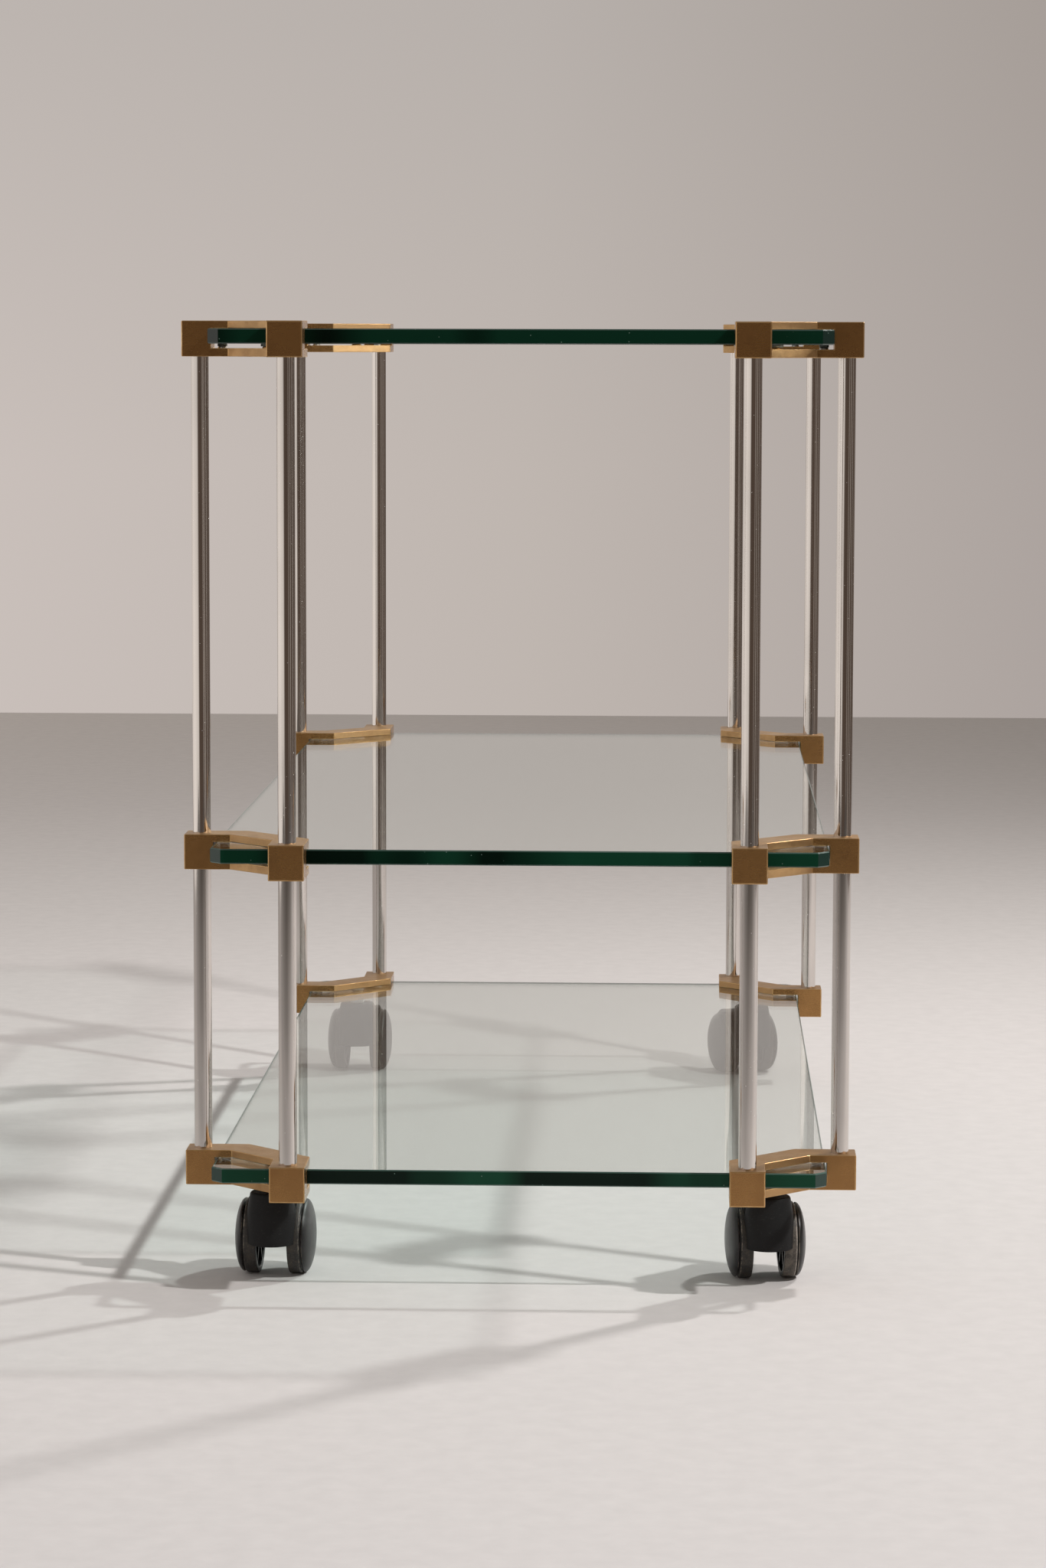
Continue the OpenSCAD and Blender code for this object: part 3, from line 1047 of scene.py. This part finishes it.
@dataclass
class Brackets:
    """Twelve cast corner brackets: a bent square bar, slotted for the glass."""

    finishes: Finishes
    heights: Heights
    bar: float = 23.5
    reach: float = 85.0
    straight: float = 31.0
    boss: float = 19.6
    lower_jaw: float = 5.5
    slot: float = 13.0
    tube_d: float = 12.0
    tube_seat: float = 2.0
    tube_inset: float = 10.8
    rod_d: float = 6.0
    rod_grip: float = 16.0
    nut_d: float = 12.0
    nut_recess: float = 6.5
    edge_screw_inset: float = 26.0
    edge_screw_d: float = 6.0
    centre_inset: float = 57.8
    centre_d: float = 8.0
    end_ease: float = 0.9
    side_ease: float = 0.45
    smallest_edge: float = 1.2

    def pair(self, inset: float) -> list[Point]:
        """Local places of two like things, on the middle of the bar's two ends."""
        axis = self.reach - self.bar / 2
        return [(inset, axis), (axis, inset)]

    def plan(self) -> list[Point]:
        """Outline of the bent bar from above.

        Returns:
            Eight corners.
        """
        outer, inner = self.reach - self.bar, self.straight + self.bar * math.tan(math.pi / 8)
        return [
            (0, outer), (self.straight, outer), (outer, self.straight), (outer, 0),
            (self.reach, 0), (self.reach, inner), (inner, self.reach), (0, self.reach),
        ]

    def drill(self, obj: Object, at: Point, diameter: float, low: float, high: float) -> None:
        """Cuts a round hole.

        Args:
            obj: The bracket.
            at: Local place of the hole.
            diameter: Diameter before the clearance is added.
            low: Lower end.
            high: Upper end.
        """
        bm = cylinder(diameter / 2 + CLEARANCE, low, high, 56)
        bmesh.ops.translate(bm, verts=bm.verts, vec=(*at, 0))
        combine(obj, bm)

    def casting(self, tier: Tier) -> Object:
        """The bracket of a tier before its edges are eased.

        Args:
            tier: The tier.

        Returns:
            The solid in its own place, in millimetres.
        """
        obj = make_object(f"casting_{tier.name}", outline_solid(self.plan(), 0, self.bar))
        below, above, inside_slot, far = -1, self.bar + 1, self.lower_jaw + 1, 2 * self.reach
        square = [(self.boss, self.boss), (far, self.boss), (far, far), (self.boss, far)]
        combine(obj, outline_solid(square, self.lower_jaw, self.lower_jaw + self.slot))
        for at in self.pair(self.tube_inset):
            if tier is not Tier.BOTTOM:
                self.drill(obj, at, self.tube_d, below, self.tube_seat)
            if tier is not Tier.TOP:
                self.drill(obj, at, self.tube_d, self.bar - self.tube_seat, above)
            self.drill(obj, at, self.rod_d, below, self.rod_grip if tier is Tier.TOP else above)
            if tier is Tier.BOTTOM:
                self.drill(obj, at, self.nut_d, below, self.nut_recess)
        for at in self.pair(self.edge_screw_inset):
            self.drill(obj, at, self.edge_screw_d, below, inside_slot)
        self.drill(obj, (self.centre_inset, self.centre_inset), self.centre_d, below, inside_slot)
        return obj

    def eased(self, casting: Object, corner: Corner, name: str) -> Object:
        """Mirrors a casting for its corner and eases its edges, the end faces more than the rest.

        Args:
            casting: The bracket of the tier.
            corner: The corner.
            name: Name of the piece.

        Returns:
            The bracket, in millimetres, in its own place.
        """
        cast, rubbed, filed = 0, 1, 2
        level, bend, on_face = math.radians(0.5), math.radians(25), 0.01
        bm = bmesh.new()
        bm.from_mesh(casting.data)
        bmesh.ops.dissolve_limit(bm, angle_limit=level, verts=bm.verts, edges=bm.edges)
        weight = bm.edges.layers.float.new("bevel_weight_edge")
        for edge in bm.edges:
            solid = len(edge.link_faces) == 2 and edge.calc_face_angle(0) >= bend
            if solid and edge.calc_length() >= self.smallest_edge:
                one, two = edge.verts[0].co, edge.verts[1].co
                at_end = any(max(one[i], two[i]) < on_face for i in (0, 1))
                edge[weight] = 1.0 if at_end else self.side_ease / self.end_ease
        bmesh.ops.scale(bm, verts=bm.verts, vec=(corner.inward_x, corner.inward_y, 1))
        if corner.inward_x != corner.inward_y:
            bmesh.ops.reverse_faces(bm, faces=bm.faces)
        obj = make_object(name, bm, (self.finishes.brass, self.finishes.rubbed, self.finishes.filed))
        ease_edges(obj, self.end_ease, 3, 34, limit_method="WEIGHT", material=rubbed)
        # Top, bottom and diagonal faces take the filed brass, whose paler colour is a painted highlight.
        for face in obj.data.polygons:
            x, y, z = (abs(part) for part in face.normal)
            if face.material_index == cast and (z > 0.9 or min(x, y) > 0.3):
                face.material_index = filed
        return obj

    def build(self) -> None:
        """Makes the twelve brackets."""
        for tier in Tier:
            casting = self.casting(tier)
            for corner in CORNERS:
                label = f"{tier.label}_{corner.name}"
                piece = self.eased(casting, corner, f"cast_bracket_{label}")
                place = corner.point(0, 0, self.heights.tiers[tier.value])
                piece.data.transform(Matrix.Translation(place * MM) @ TO_METRES)
                install(piece, "root", [f"bracket_{label}"])
            discard(casting)


@dataclass
class TubeStacks:
    """Sixteen polished tubes, and the finish of the tie rods inside them."""

    finishes: Finishes
    heights: Heights
    brackets: Brackets
    wall: float = 1.3
    ease: float = 0.3

    def build(self) -> None:
        """Makes the tubes of each bay as one piece and dresses the rods."""
        recipe, b = tube_recipe(), self.brackets
        sizes = {"Diameter": b.tube_d * MM, "Wall": self.wall * MM, "Ease": self.ease * MM}
        for bay in Bay:
            low = self.heights.tiers[bay.value] + self.heights.bar - b.tube_seat
            high = self.heights.tiers[bay.value + 1] + b.tube_seat
            points = [c.point(x, y, low) for c in CORNERS for x, y in b.pair(b.tube_inset)]
            values = {**sizes, "Length": (high - low) * MM, "Finish": self.finishes.nickel}
            tubes = recipe.run(f"tubes_{bay.label}", points, values, sharp=12.0)
            nodes = [f"tube_{bay.label}_{c.name}_{stack}" for c in CORNERS for stack in ("side", "end")]
            install(tubes, "root", nodes)
        dress_node("tie_rods", self.finishes.zinc)


@dataclass
class Fasteners:
    """Clamp screws, their pads and the nuts of the tie rods."""

    finishes: Finishes
    heights: Heights
    brackets: Brackets
    screw_h: float = 6.7
    pad_t: float = 1.8
    edge_pad_d: float = 6.5
    centre_pad_d: float = 10.0
    nut_h: float = 6.0
    pin_hole_d: float = 1.6
    pin_hole_out: float = 4.5
    seed: int = 7

    def screw(self, diameter: float) -> Object:
        """A headless screw with a chamfered, slotted foot and turned thread.

        Args:
            diameter: Diameter of the screw.

        Returns:
            The pattern, in millimetres.
        """
        r, ease = diameter / 2, 0.5
        grooves = thread(r, depth=0.35, low=ease, high=self.screw_h - ease, pitch=1.0, root=0.5)
        profile = [
            (0, 0), (r - ease, 0), (r, ease), *grooves,
            (r, self.screw_h - ease), (r - ease, self.screw_h), (0, self.screw_h),
        ]
        obj = make_object("screw", turned_solid(profile, 28))
        wide, half, depth = diameter, diameter / 12, diameter / 5
        combine(obj, outline_solid([(-wide, -half), (wide, -half), (wide, half), (-wide, half)], -1, depth))
        return obj

    def disc(self, diameter: float) -> Object:
        """A rubber pad with rounded rims.

        Args:
            diameter: Diameter of the pad.

        Returns:
            The pattern, in millimetres.
        """
        ease, gap = 0.4, 0.02
        middle, low, high = diameter / 2 - ease, gap, self.pad_t - gap
        profile = [
            (0, low), *arc((middle, low + ease), (ease, ease), -90, 0, 4),
            *arc((middle, high - ease), (ease, ease), 0, 90, 4), (0, high),
        ]
        return make_object("pad", turned_solid(profile, 32))

    def nut(self) -> Object:
        """A round nut with two holes for a pin spanner.

        Returns:
            The pattern, in millimetres.
        """
        r, bore, h = self.brackets.nut_d / 2, self.brackets.rod_d / 2 + CLEARANCE, self.nut_h
        ease, rim = 0.5, 0.2
        profile = [
            (bore + ease, 0), (r - ease, 0), (r, ease), (r, h - rim), (r - rim, h), (bore, h), (bore, ease),
        ]
        obj = make_object("nut", turned_solid(profile, 48))
        for out in (-self.pin_hole_out, self.pin_hole_out):
            hole = cylinder(self.pin_hole_d / 2, -1, h / 2, 20)
            bmesh.ops.translate(hole, verts=hole.verts, vec=(out, 0, 0))
            combine(obj, hole)
        return obj

    def build(self) -> None:
        """Makes each kind as one piece."""
        recipe, f, b, levels = repeat_recipe(), self.finishes, self.brackets, self.heights.tiers
        edges = [c.point(x, y, z) for c in CORNERS for z in levels for x, y in b.pair(b.edge_screw_inset)]
        centres = [c.point(b.centre_inset, b.centre_inset, z) for c in CORNERS for z in levels]
        screwed = [p for i, p in enumerate(centres) if i % len(levels)]
        nut_z = levels[0] + b.nut_recess - self.nut_h
        nuts = [c.point(x, y, nut_z) for c in CORNERS for x, y in b.pair(b.tube_inset)]
        brass, zinc, rubber = (f.brass, "cast_brass"), (f.zinc, "zinc_steel"), (f.rubber, "grey_pad")
        rows = (
            ("clamp_screws_edge", "edge_clamp_screws", self.screw(b.edge_screw_d), edges, 0, zinc),
            ("clamp_screws_centre", "centre_clamp_screws", self.screw(b.centre_d), screwed, 0, brass),
            ("pads_edge", "edge_pads", self.disc(self.edge_pad_d), edges, self.screw_h, rubber),
            ("pads_centre", "centre_pads", self.disc(self.centre_pad_d), centres, self.screw_h, rubber),
            ("rod_nuts", "tie_rod_nuts", self.nut(), nuts, 0, brass),
        )
        for name, node, pattern, points, lift, (finish, slot) in rows:
            pattern.data.transform(TO_METRES)
            raised = [p + Vector((0, 0, lift)) for p in points]
            values = {"Part": pattern, "Most turn": math.pi, "Seed": self.seed, "Finish": finish}
            piece = recipe.run(name, raised, values)
            discard(pattern)
            install(piece, "root", [node])


@dataclass
class Castors:
    """Four twin-wheel swivel castors."""

    finishes: Finishes
    height: float = 62.5
    wheel_d: float = 51.0
    wheel_w: float = 16.4
    tread_w: float = 8.4
    gap: float = 20.8
    trail: float = 21.0
    swivels: tuple[float, ...] = (-3.0, 6.0, -2.0, 20.0)
    dusty_wheel: str = "front_right_outer"
    axle_d: float = 6.0
    hub_wall: float = 3.0
    rim_wall: float = 4.0
    bore_cap: float = 4.5
    recess: float = 5.0
    rib_t: float = 1.6
    shroud_d: float = 32.4
    neck_d: float = 28.6
    shroud_low: float = 24.0
    hood_t: float = 2.0
    hood_gap: float = 0.7
    hood_back_angle: float = 28.0
    web_gap: float = 0.4
    collar: float = 3.0
    collar_gap: float = 0.2
    collar_teeth: int = 32
    collar_d: float = 11.4
    collar_root_d: float = 10.4
    bearing: float = 22.0
    stem_d: float = 8.0
    stem_rise: float = 6.7
    inset: float = 57.8

    @property
    def axle_z(self) -> float:
        """Height of the axle."""
        return self.wheel_d / 2

    @property
    def neck_top(self) -> float:
        """Height of the top of the neck."""
        return self.height - self.collar - self.collar_gap

    def barrel(self, low: float, high: float, radius: float) -> Solid:
        """Cylinder about the axle.

        Args:
            low: Lower end along X.
            high: Upper end along X.
            radius: Radius of the cylinder.

        Returns:
            The solid.
        """
        bm = cylinder(radius, low, high, 96, "X")
        bmesh.ops.translate(bm, verts=bm.verts, vec=(0, self.trail, self.axle_z))
        return bm

    def shroud(self) -> Solid:
        """Round body of the housing, from its skirt to its neck.

        Returns:
            The solid.
        """
        r, neck, low, top = self.shroud_d / 2, self.neck_d / 2, self.shroud_low, self.neck_top
        ease, crown, shoulder = 0.8, 2.0, 14.0
        return turned_solid(
            [
                (0, low), *arc((r - ease, low + ease), (ease, ease), -90, 0, 3), (r, low + ease + 0.3),
                (r, top - shoulder - 0.3), (r, top - shoulder), (r - 0.25, top - shoulder + 2.5),
                *arc((neck - crown, top - crown), (crown, crown), 0, 90, 5), (0, top),
            ],
            96,
        )

    def housing(self) -> Object:
        """Shroud, hood and web as one moulding.

        Returns:
            The pattern in its own place, in millimetres.
        """
        obj = make_object("housing", self.shroud())
        pocket, web, beyond = self.axle_z + self.hood_gap, self.gap / 2 - self.web_gap, 60
        outer, half = pocket + self.hood_t, self.shroud_d / 2
        front = math.degrees(math.acos(-self.trail / outer))
        hood = arc((self.trail, self.axle_z), (outer, outer), self.hood_back_angle, front, 40)
        roof = [(self.trail, self.axle_z), *hood, (0, self.axle_z)]
        combine(obj, outline_solid(roof, -half, half, "X"), "UNION")
        for low, high in ((-beyond, -web), (web, beyond)):
            combine(obj, self.barrel(low, high, pocket))
        under = self.axle_z - self.axle_d
        middle = [
            (0, self.shroud_low), (self.trail, under - 0.5), (self.trail + self.axle_d, under + 1), *hood,
        ]
        combine(obj, outline_solid(middle, -web, web, "X"), "UNION")
        combine(obj, cylinder(self.stem_d / 2 + CLEARANCE, self.neck_top - self.bearing, self.height, 48))
        combine(obj, self.barrel(-web - 1, web + 1, self.axle_d / 2 + CLEARANCE))
        obj.data.materials.append(self.finishes.housing)
        ease_edges(obj, 0.4, 2, 47, limit_method="ANGLE", angle_limit=math.radians(38))
        return obj

    def wheel_profile(self) -> tuple[list[Point], dict[int, int]]:
        """Section of a wheel, from its bore round the tread to the top of its dome.

        Returns:
            The points, and the material slots of the tread's and the rim's stretches.
        """
        r, bore, groove, width = self.wheel_d / 2, self.axle_d / 2 + CLEARANCE, 0.8, self.tread_w
        hub, rim = self.axle_d / 2 + self.hub_wall, r - self.rim_wall
        deep, recess, edge, corner = self.wheel_w - self.bore_cap, self.recess, 0.4, 0.6
        dome_x = width + 2 * groove
        inside: list[Point] = [
            (0, deep), (bore, deep), (bore, edge), (bore + edge, 0), (hub - edge, 0), (hub, edge),
            (hub, recess - corner), (hub + corner, recess), (rim - corner, recess), (rim, recess - corner),
            (rim, edge), (rim + edge, 0),
        ]
        tread = [
            (r - 0.9, 0), (r - 0.4, 0.15), (r - 0.1, 0.5), (r, 0.9), (r, width * 0.35), (r, width * 0.7),
            (r - 0.05, width - 0.7), (r - 0.25, width - 0.3), (r - 0.7, width),
        ]
        step = [
            (r - 1.9, width + 0.15), (r - 2.1, width + 0.6), (r - 1.9, dome_x - 0.5),
            (r - 1.2, dome_x - 0.35), (r - 0.9, dome_x - 0.1),
        ]
        dome = arc((0, dome_x), (r - groove, self.wheel_w - dome_x), 0, 90, 22)
        first, last = len(inside), len(inside) + len(tread) - 1
        marks = {stretch: 1 for stretch in range(first, last)}
        marks |= {last + away: 2 for away in (-2, -1, 3, 4, 5)}
        return [*inside, *tread, *step, *dome[:-1], (0, self.wheel_w)], marks

    def wheel(self) -> Object:
        """Wheel about X, ribbed inside, with its inner face on x = 0 and its dome towards +X.

        Returns:
            The pattern, in millimetres.
        """
        profile, marks = self.wheel_profile()
        bm = turned_solid(profile, 96, "X", marks)
        sunk, face, back = 0.5, 0.6, self.recess + 0.4
        low = self.axle_d / 2 + self.hub_wall - sunk
        high = self.wheel_d / 2 - self.rim_wall + sunk
        plan = [(face, low), (face, high), (back, high), (back, low)]
        for turn in range(0, 360, 60):
            rib = outline_solid(plan, -self.rib_t / 2, self.rib_t / 2)
            about = Matrix.Rotation(math.radians(turn), 3, "X")
            bmesh.ops.rotate(rib, verts=rib.verts, cent=(0, 0, 0), matrix=about)
            part = bpy.data.meshes.new("rib")
            rib.to_mesh(part)
            rib.free()
            bm.from_mesh(part)
            bpy.data.meshes.remove(part)
        obj = make_object("wheel", bm, (self.finishes.dome, self.finishes.tread, self.finishes.rim))
        shade(obj, 38)
        return obj

    def stem(self) -> Object:
        """Pin and thread of the stem.

        Returns:
            The pattern, in millimetres.
        """
        r, ease, play = self.stem_d / 2, 0.8, 0.5
        low, top = self.neck_top - self.bearing + play, self.height + self.stem_rise
        grooves = thread(r, depth=0.6, low=self.height + 0.2, high=top - ease, pitch=1.25, root=0.62)
        profile = [
            (0, low), (r - ease, low), (r, low + ease), (r, self.height), *grooves,
            (r, top - ease), (r - ease, top), (0, top),
        ]
        obj = make_object("stem", turned_solid(profile, 48), (self.finishes.zinc,))
        shade(obj, 40)
        return obj

    def build(self) -> None:
        """Makes the four castors, each with its own bodies."""
        f, collars = self.finishes, collar_recipe()
        housing, wheel, stem = self.housing(), self.wheel(), self.stem()
        collar_sizes = {
            "Teeth": self.collar_teeth,
            "Outer Radius": self.collar_d / 2 * MM,
            "Inner Radius": self.collar_root_d / 2 * MM,
            "Height": self.collar * MM,
            "Finish": f.zinc,
        }
        for corner, turn in zip(CORNERS, self.swivels):
            at = corner.point(self.inset, self.inset)
            body = f"castor_{corner.name}"
            swivel = Matrix.Translation(at * MM) @ Matrix.Rotation(math.radians(turn), 4, "Z")
            piece = placed_copy(housing, f"housing_{corner.name}", Vector())
            piece.data.transform(swivel)
            install(piece, body, [f"{body}_housing"])
            install(placed_copy(stem, f"stem_{corner.name}", at), "root", [f"{body}_stem"])
            under = at + Vector((0, 0, self.height - self.collar))
            collar = collars.run(f"stem_collar_{corner.name}", [under], collar_sizes)
            install(collar, "root")
            dress_node(f"{body}_axle", f.zinc)
            for place in Place:
                left = (corner.side is Side.LEFT) == (place is Place.OUTER)
                spot = Vector(((-1 if left else 1) * self.gap / 2, self.trail, self.axle_z))
                name = f"{corner.name}_{place.value}"
                piece = placed_copy(wheel, f"castor_wheel_{name}", spot, flip_x=left)
                piece.data.transform(swivel)
                if name == self.dusty_wheel:
                    piece.data.materials[1], piece.data.materials[2] = f.dusty_tread, f.dusty_rim
                install(piece, f"wheel_{name}", [f"wheel_{name}"])
        for pattern in (housing, wheel, stem):
            discard(pattern)


# ---------- Studio ----------


@dataclass
class Studio:
    """Pale floor, soft light from the right and the camera of the photograph."""

    floor_back: float = 4.02
    floor_front: float = -3.0
    floor_side: float = 2.3
    floor_thick: float = 0.02
    floor_seen_front: float = -1.16
    lamp_size: float = 0.12
    lamp_aim: tuple[float, float, float] = (0, 0, 0.25)
    lamp_colour: Colour = (1.0, 0.97, 0.95)
    sensor: float = 36.0
    picture_height: float = 2048
    focal_pixels: float = 5783.19
    eye: tuple[float, float, float] = (0.10626, -3.30214, 0.62943)
    yaw: float = 0.035975
    pitch: float = 0.101193
    roll: float = 0.0022298

    def floor(self) -> None:
        """Makes the floor. Its colour holds painted light: paler near the trolley and greyer towards the
        wall, and painted darker on the right, where the lamps are, than on the left.

        For camera and transmission rays the front keeps the tone of floor_seen_front, and so stays pale
        Mirrored in metal, the floor is dimmer in front and brighter on the right, and its far front turns
        dark: painted reflections.
        """
        front, back, side = self.floor_front, self.floor_back, self.floor_side
        plan = [(-side, front), (side, front), (side, back), (-side, back)]
        bm = outline_solid(plan, -self.floor_thick, 0.0)
        s = Surface("studio_floor")
        x, y = s.along("X"), s.along("Y")
        nearest = s.span(s.rays("Is Camera Ray", "Is Transmission Ray"), 0, 1, front, self.floor_seen_front)
        # Painted light: pale near the trolley and greyer far off. The far front is dark, which camera and
        # transmission rays don't see.
        rows = (
            (-3.00, (0.17, 0.155, 0.142)),
            (-2.30, (0.30, 0.282, 0.265)),
            (-1.50, (0.52, 0.500, 0.485)),
            (-1.16, (0.69, 0.670, 0.665)),
            (-0.72, (0.67, 0.650, 0.642)),
            (0.44, (0.685, 0.660, 0.650)),
            (1.43, (0.64, 0.615, 0.600)),
            (2.60, (0.62, 0.585, 0.565)),
            (4.02, (0.67, 0.625, 0.590)),
        )
        stops = [((at - front) / (back - front), colour) for at, colour in rows]
        base = s.ramp(s.span(s.calc("MAXIMUM", y, nearest), front, back), stops)
        mirrored = s.node("ShaderNodeLightPath").outputs["Is Glossy Ray"]
        # Painted reflection: glossy rays see the floor dimmer in front and brighter on the right.
        dimmer = s.calc("MULTIPLY", s.span(x, -0.1, 0.4, 1.0, 1.25), s.span(y, -0.95, -0.50, 0.70, 1.0))
        seen = s.calc("SUBTRACT", 1.0, s.calc("MULTIPLY", mirrored, s.calc("SUBTRACT", 1.0, dimmer)))
        # Painted light: the floor is lighter on the left and darker on the right, against the lamps on the
        # right.
        fine, across = s.span(s.noise(60), 0.3, 0.7, 0.97, 1.03), s.span(x, -1.0, 1.0, 1.20, 0.80)
        tone = s.dimmed(base, s.calc("MULTIPLY", s.calc("MULTIPLY", fine, across), seen))
        make_object("studio_floor", bm, (s.principled(tone, 0.75, Specular_IOR_Level=0.25),))

    def room(self) -> None:
        """World: pale wall for the eye, and for gloss a bright left, a lit wall behind and a dim front."""
        world = bpy.data.worlds.new("studio")
        bpy.context.scene.world = world
        world.use_nodes = True
        n = Nodes(world.node_tree)
        n.tree.nodes.clear()
        way = n.node("ShaderNodeTexCoord").outputs["Generated"]
        axes = n.node("ShaderNodeSeparateXYZ", {0: way}).outputs
        horizon = n.ramp(
            n.span(n.calc("ARCTAN2", axes["X"], axes["Y"]), -math.pi, math.pi),
            (
                (0.000, (0.110, 0.080, 0.062)),
                (0.045, (0.120, 0.088, 0.069)),
                (0.085, (0.92, 0.865, 0.815)),
                (0.250, (1.14, 1.075, 1.02)),
                (0.410, (0.78, 0.72, 0.675)),
                (0.465, (0.53, 0.485, 0.455)),
                (0.520, (0.49, 0.445, 0.415)),
                (0.560, (0.38, 0.34, 0.315)),
                (0.610, (0.125, 0.092, 0.073)),
                (0.660, (0.120, 0.088, 0.069)),
                (0.668, (0.48, 0.44, 0.41)),
                (0.676, (0.120, 0.088, 0.069)),
                (0.748, (0.115, 0.084, 0.066)),
                (0.758, (0.62, 0.58, 0.54)),
                (0.768, (0.115, 0.084, 0.066)),
                (0.825, (0.115, 0.084, 0.066)),
                (0.837, (0.62, 0.56, 0.51)),
                (0.849, (0.125, 0.095, 0.076)),
                (0.893, (0.125, 0.095, 0.076)),
                (0.905, (0.48, 0.43, 0.39)),
                (0.917, (0.115, 0.084, 0.066)),
                (1.000, (0.110, 0.080, 0.062)),
            ),
        )
        lit = n.blend(n.span(axes["Z"], 0.25, 0.8), horizon, (0.30, 0.285, 0.275))
        across = n.span(axes["X"], -0.155, 0.085)
        low = (0.0, (0.582, 0.521, 0.490)), (0.5, (0.520, 0.467, 0.432)), (1.0, (0.412, 0.366, 0.344))
        high = (0.0, (0.508, 0.462, 0.434)), (0.5, (0.475, 0.434, 0.407)), (1.0, (0.380, 0.338, 0.312))
        wall = n.blend(n.span(axes["Z"], -0.03, 0.07), n.ramp(across, low), n.ramp(across, high))
        colour = n.blend(n.rays("Is Camera Ray", "Is Transmission Ray"), lit, wall)
        shader = n.node("ShaderNodeBackground", {"Color": colour, "Strength": 1.0})
        n.node("ShaderNodeOutputWorld", {"Surface": shader.outputs[0]})

    def lamp(self, name: str, place: Vector, watts: float) -> None:
        """Adds a small square lamp that faces the middle of the trolley.

        Args:
            name: Name of the lamp.
            place: Where it hangs, in metres.
            watts: Power.
        """
        data = bpy.data.lights.new(name, "AREA")
        data.shape, data.size, data.energy, data.color = "SQUARE", self.lamp_size, watts, self.lamp_colour
        obj = link(name, data)
        obj.location = place
        obj.rotation_euler = (Vector(self.lamp_aim) - place).to_track_quat("-Z", "Y").to_euler()

    def camera(self) -> None:
        """Sets the camera where the photograph was taken."""
        data = bpy.data.cameras.new("camera")
        data.sensor_width, data.sensor_fit = self.sensor, "AUTO"
        data.lens = self.focal_pixels * self.sensor / self.picture_height
        data.clip_start, data.clip_end = 0.05, 60
        obj = link("camera", data)
        level = Vector((-math.sin(self.yaw), math.cos(self.yaw), 0))
        side = Vector((math.cos(self.yaw), math.sin(self.yaw), 0))
        up = Vector((0, 0, 1))
        ahead = level * math.cos(self.pitch) - up * math.sin(self.pitch)
        above = up * math.cos(self.pitch) + level * math.sin(self.pitch)
        across = side * math.cos(self.roll) + above * math.sin(self.roll)
        above = above * math.cos(self.roll) - side * math.sin(self.roll)
        turn = Matrix((across, above, -ahead)).transposed()
        obj.matrix_world = Matrix.Translation(self.eye) @ turn.to_4x4()
        bpy.context.scene.camera = obj

    def build(self) -> None:
        """Makes the whole studio, with its lamps on the right, one towards the camera and one behind."""
        self.floor()
        self.room()
        self.lamp("right_lamp", Vector((1.71, -1.18, 2.25)), 49)
        self.lamp("back_right_lamp", Vector((1.40, 0.94, 1.90)), 31)
        self.camera()
        bpy.context.scene.view_settings.view_transform = "Standard"
        LOG.info("studio: floor, world, two lamps and camera")


def main() -> None:
    """Builds the studio and the trolley's looks, in order."""
    logging.basicConfig(level=logging.INFO, format="%(name)s: %(message)s")
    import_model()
    heights = Heights.of_frame()
    finishes = Finishes()
    Studio().build()
    Shelves(finishes, heights).build()
    brackets = Brackets(finishes, heights)
    brackets.build()
    TubeStacks(finishes, heights, brackets).build()
    Fasteners(finishes, heights, brackets).build()
    Castors(finishes).build()
    LOG.info("done")


if __name__ == "__main__":
    main()
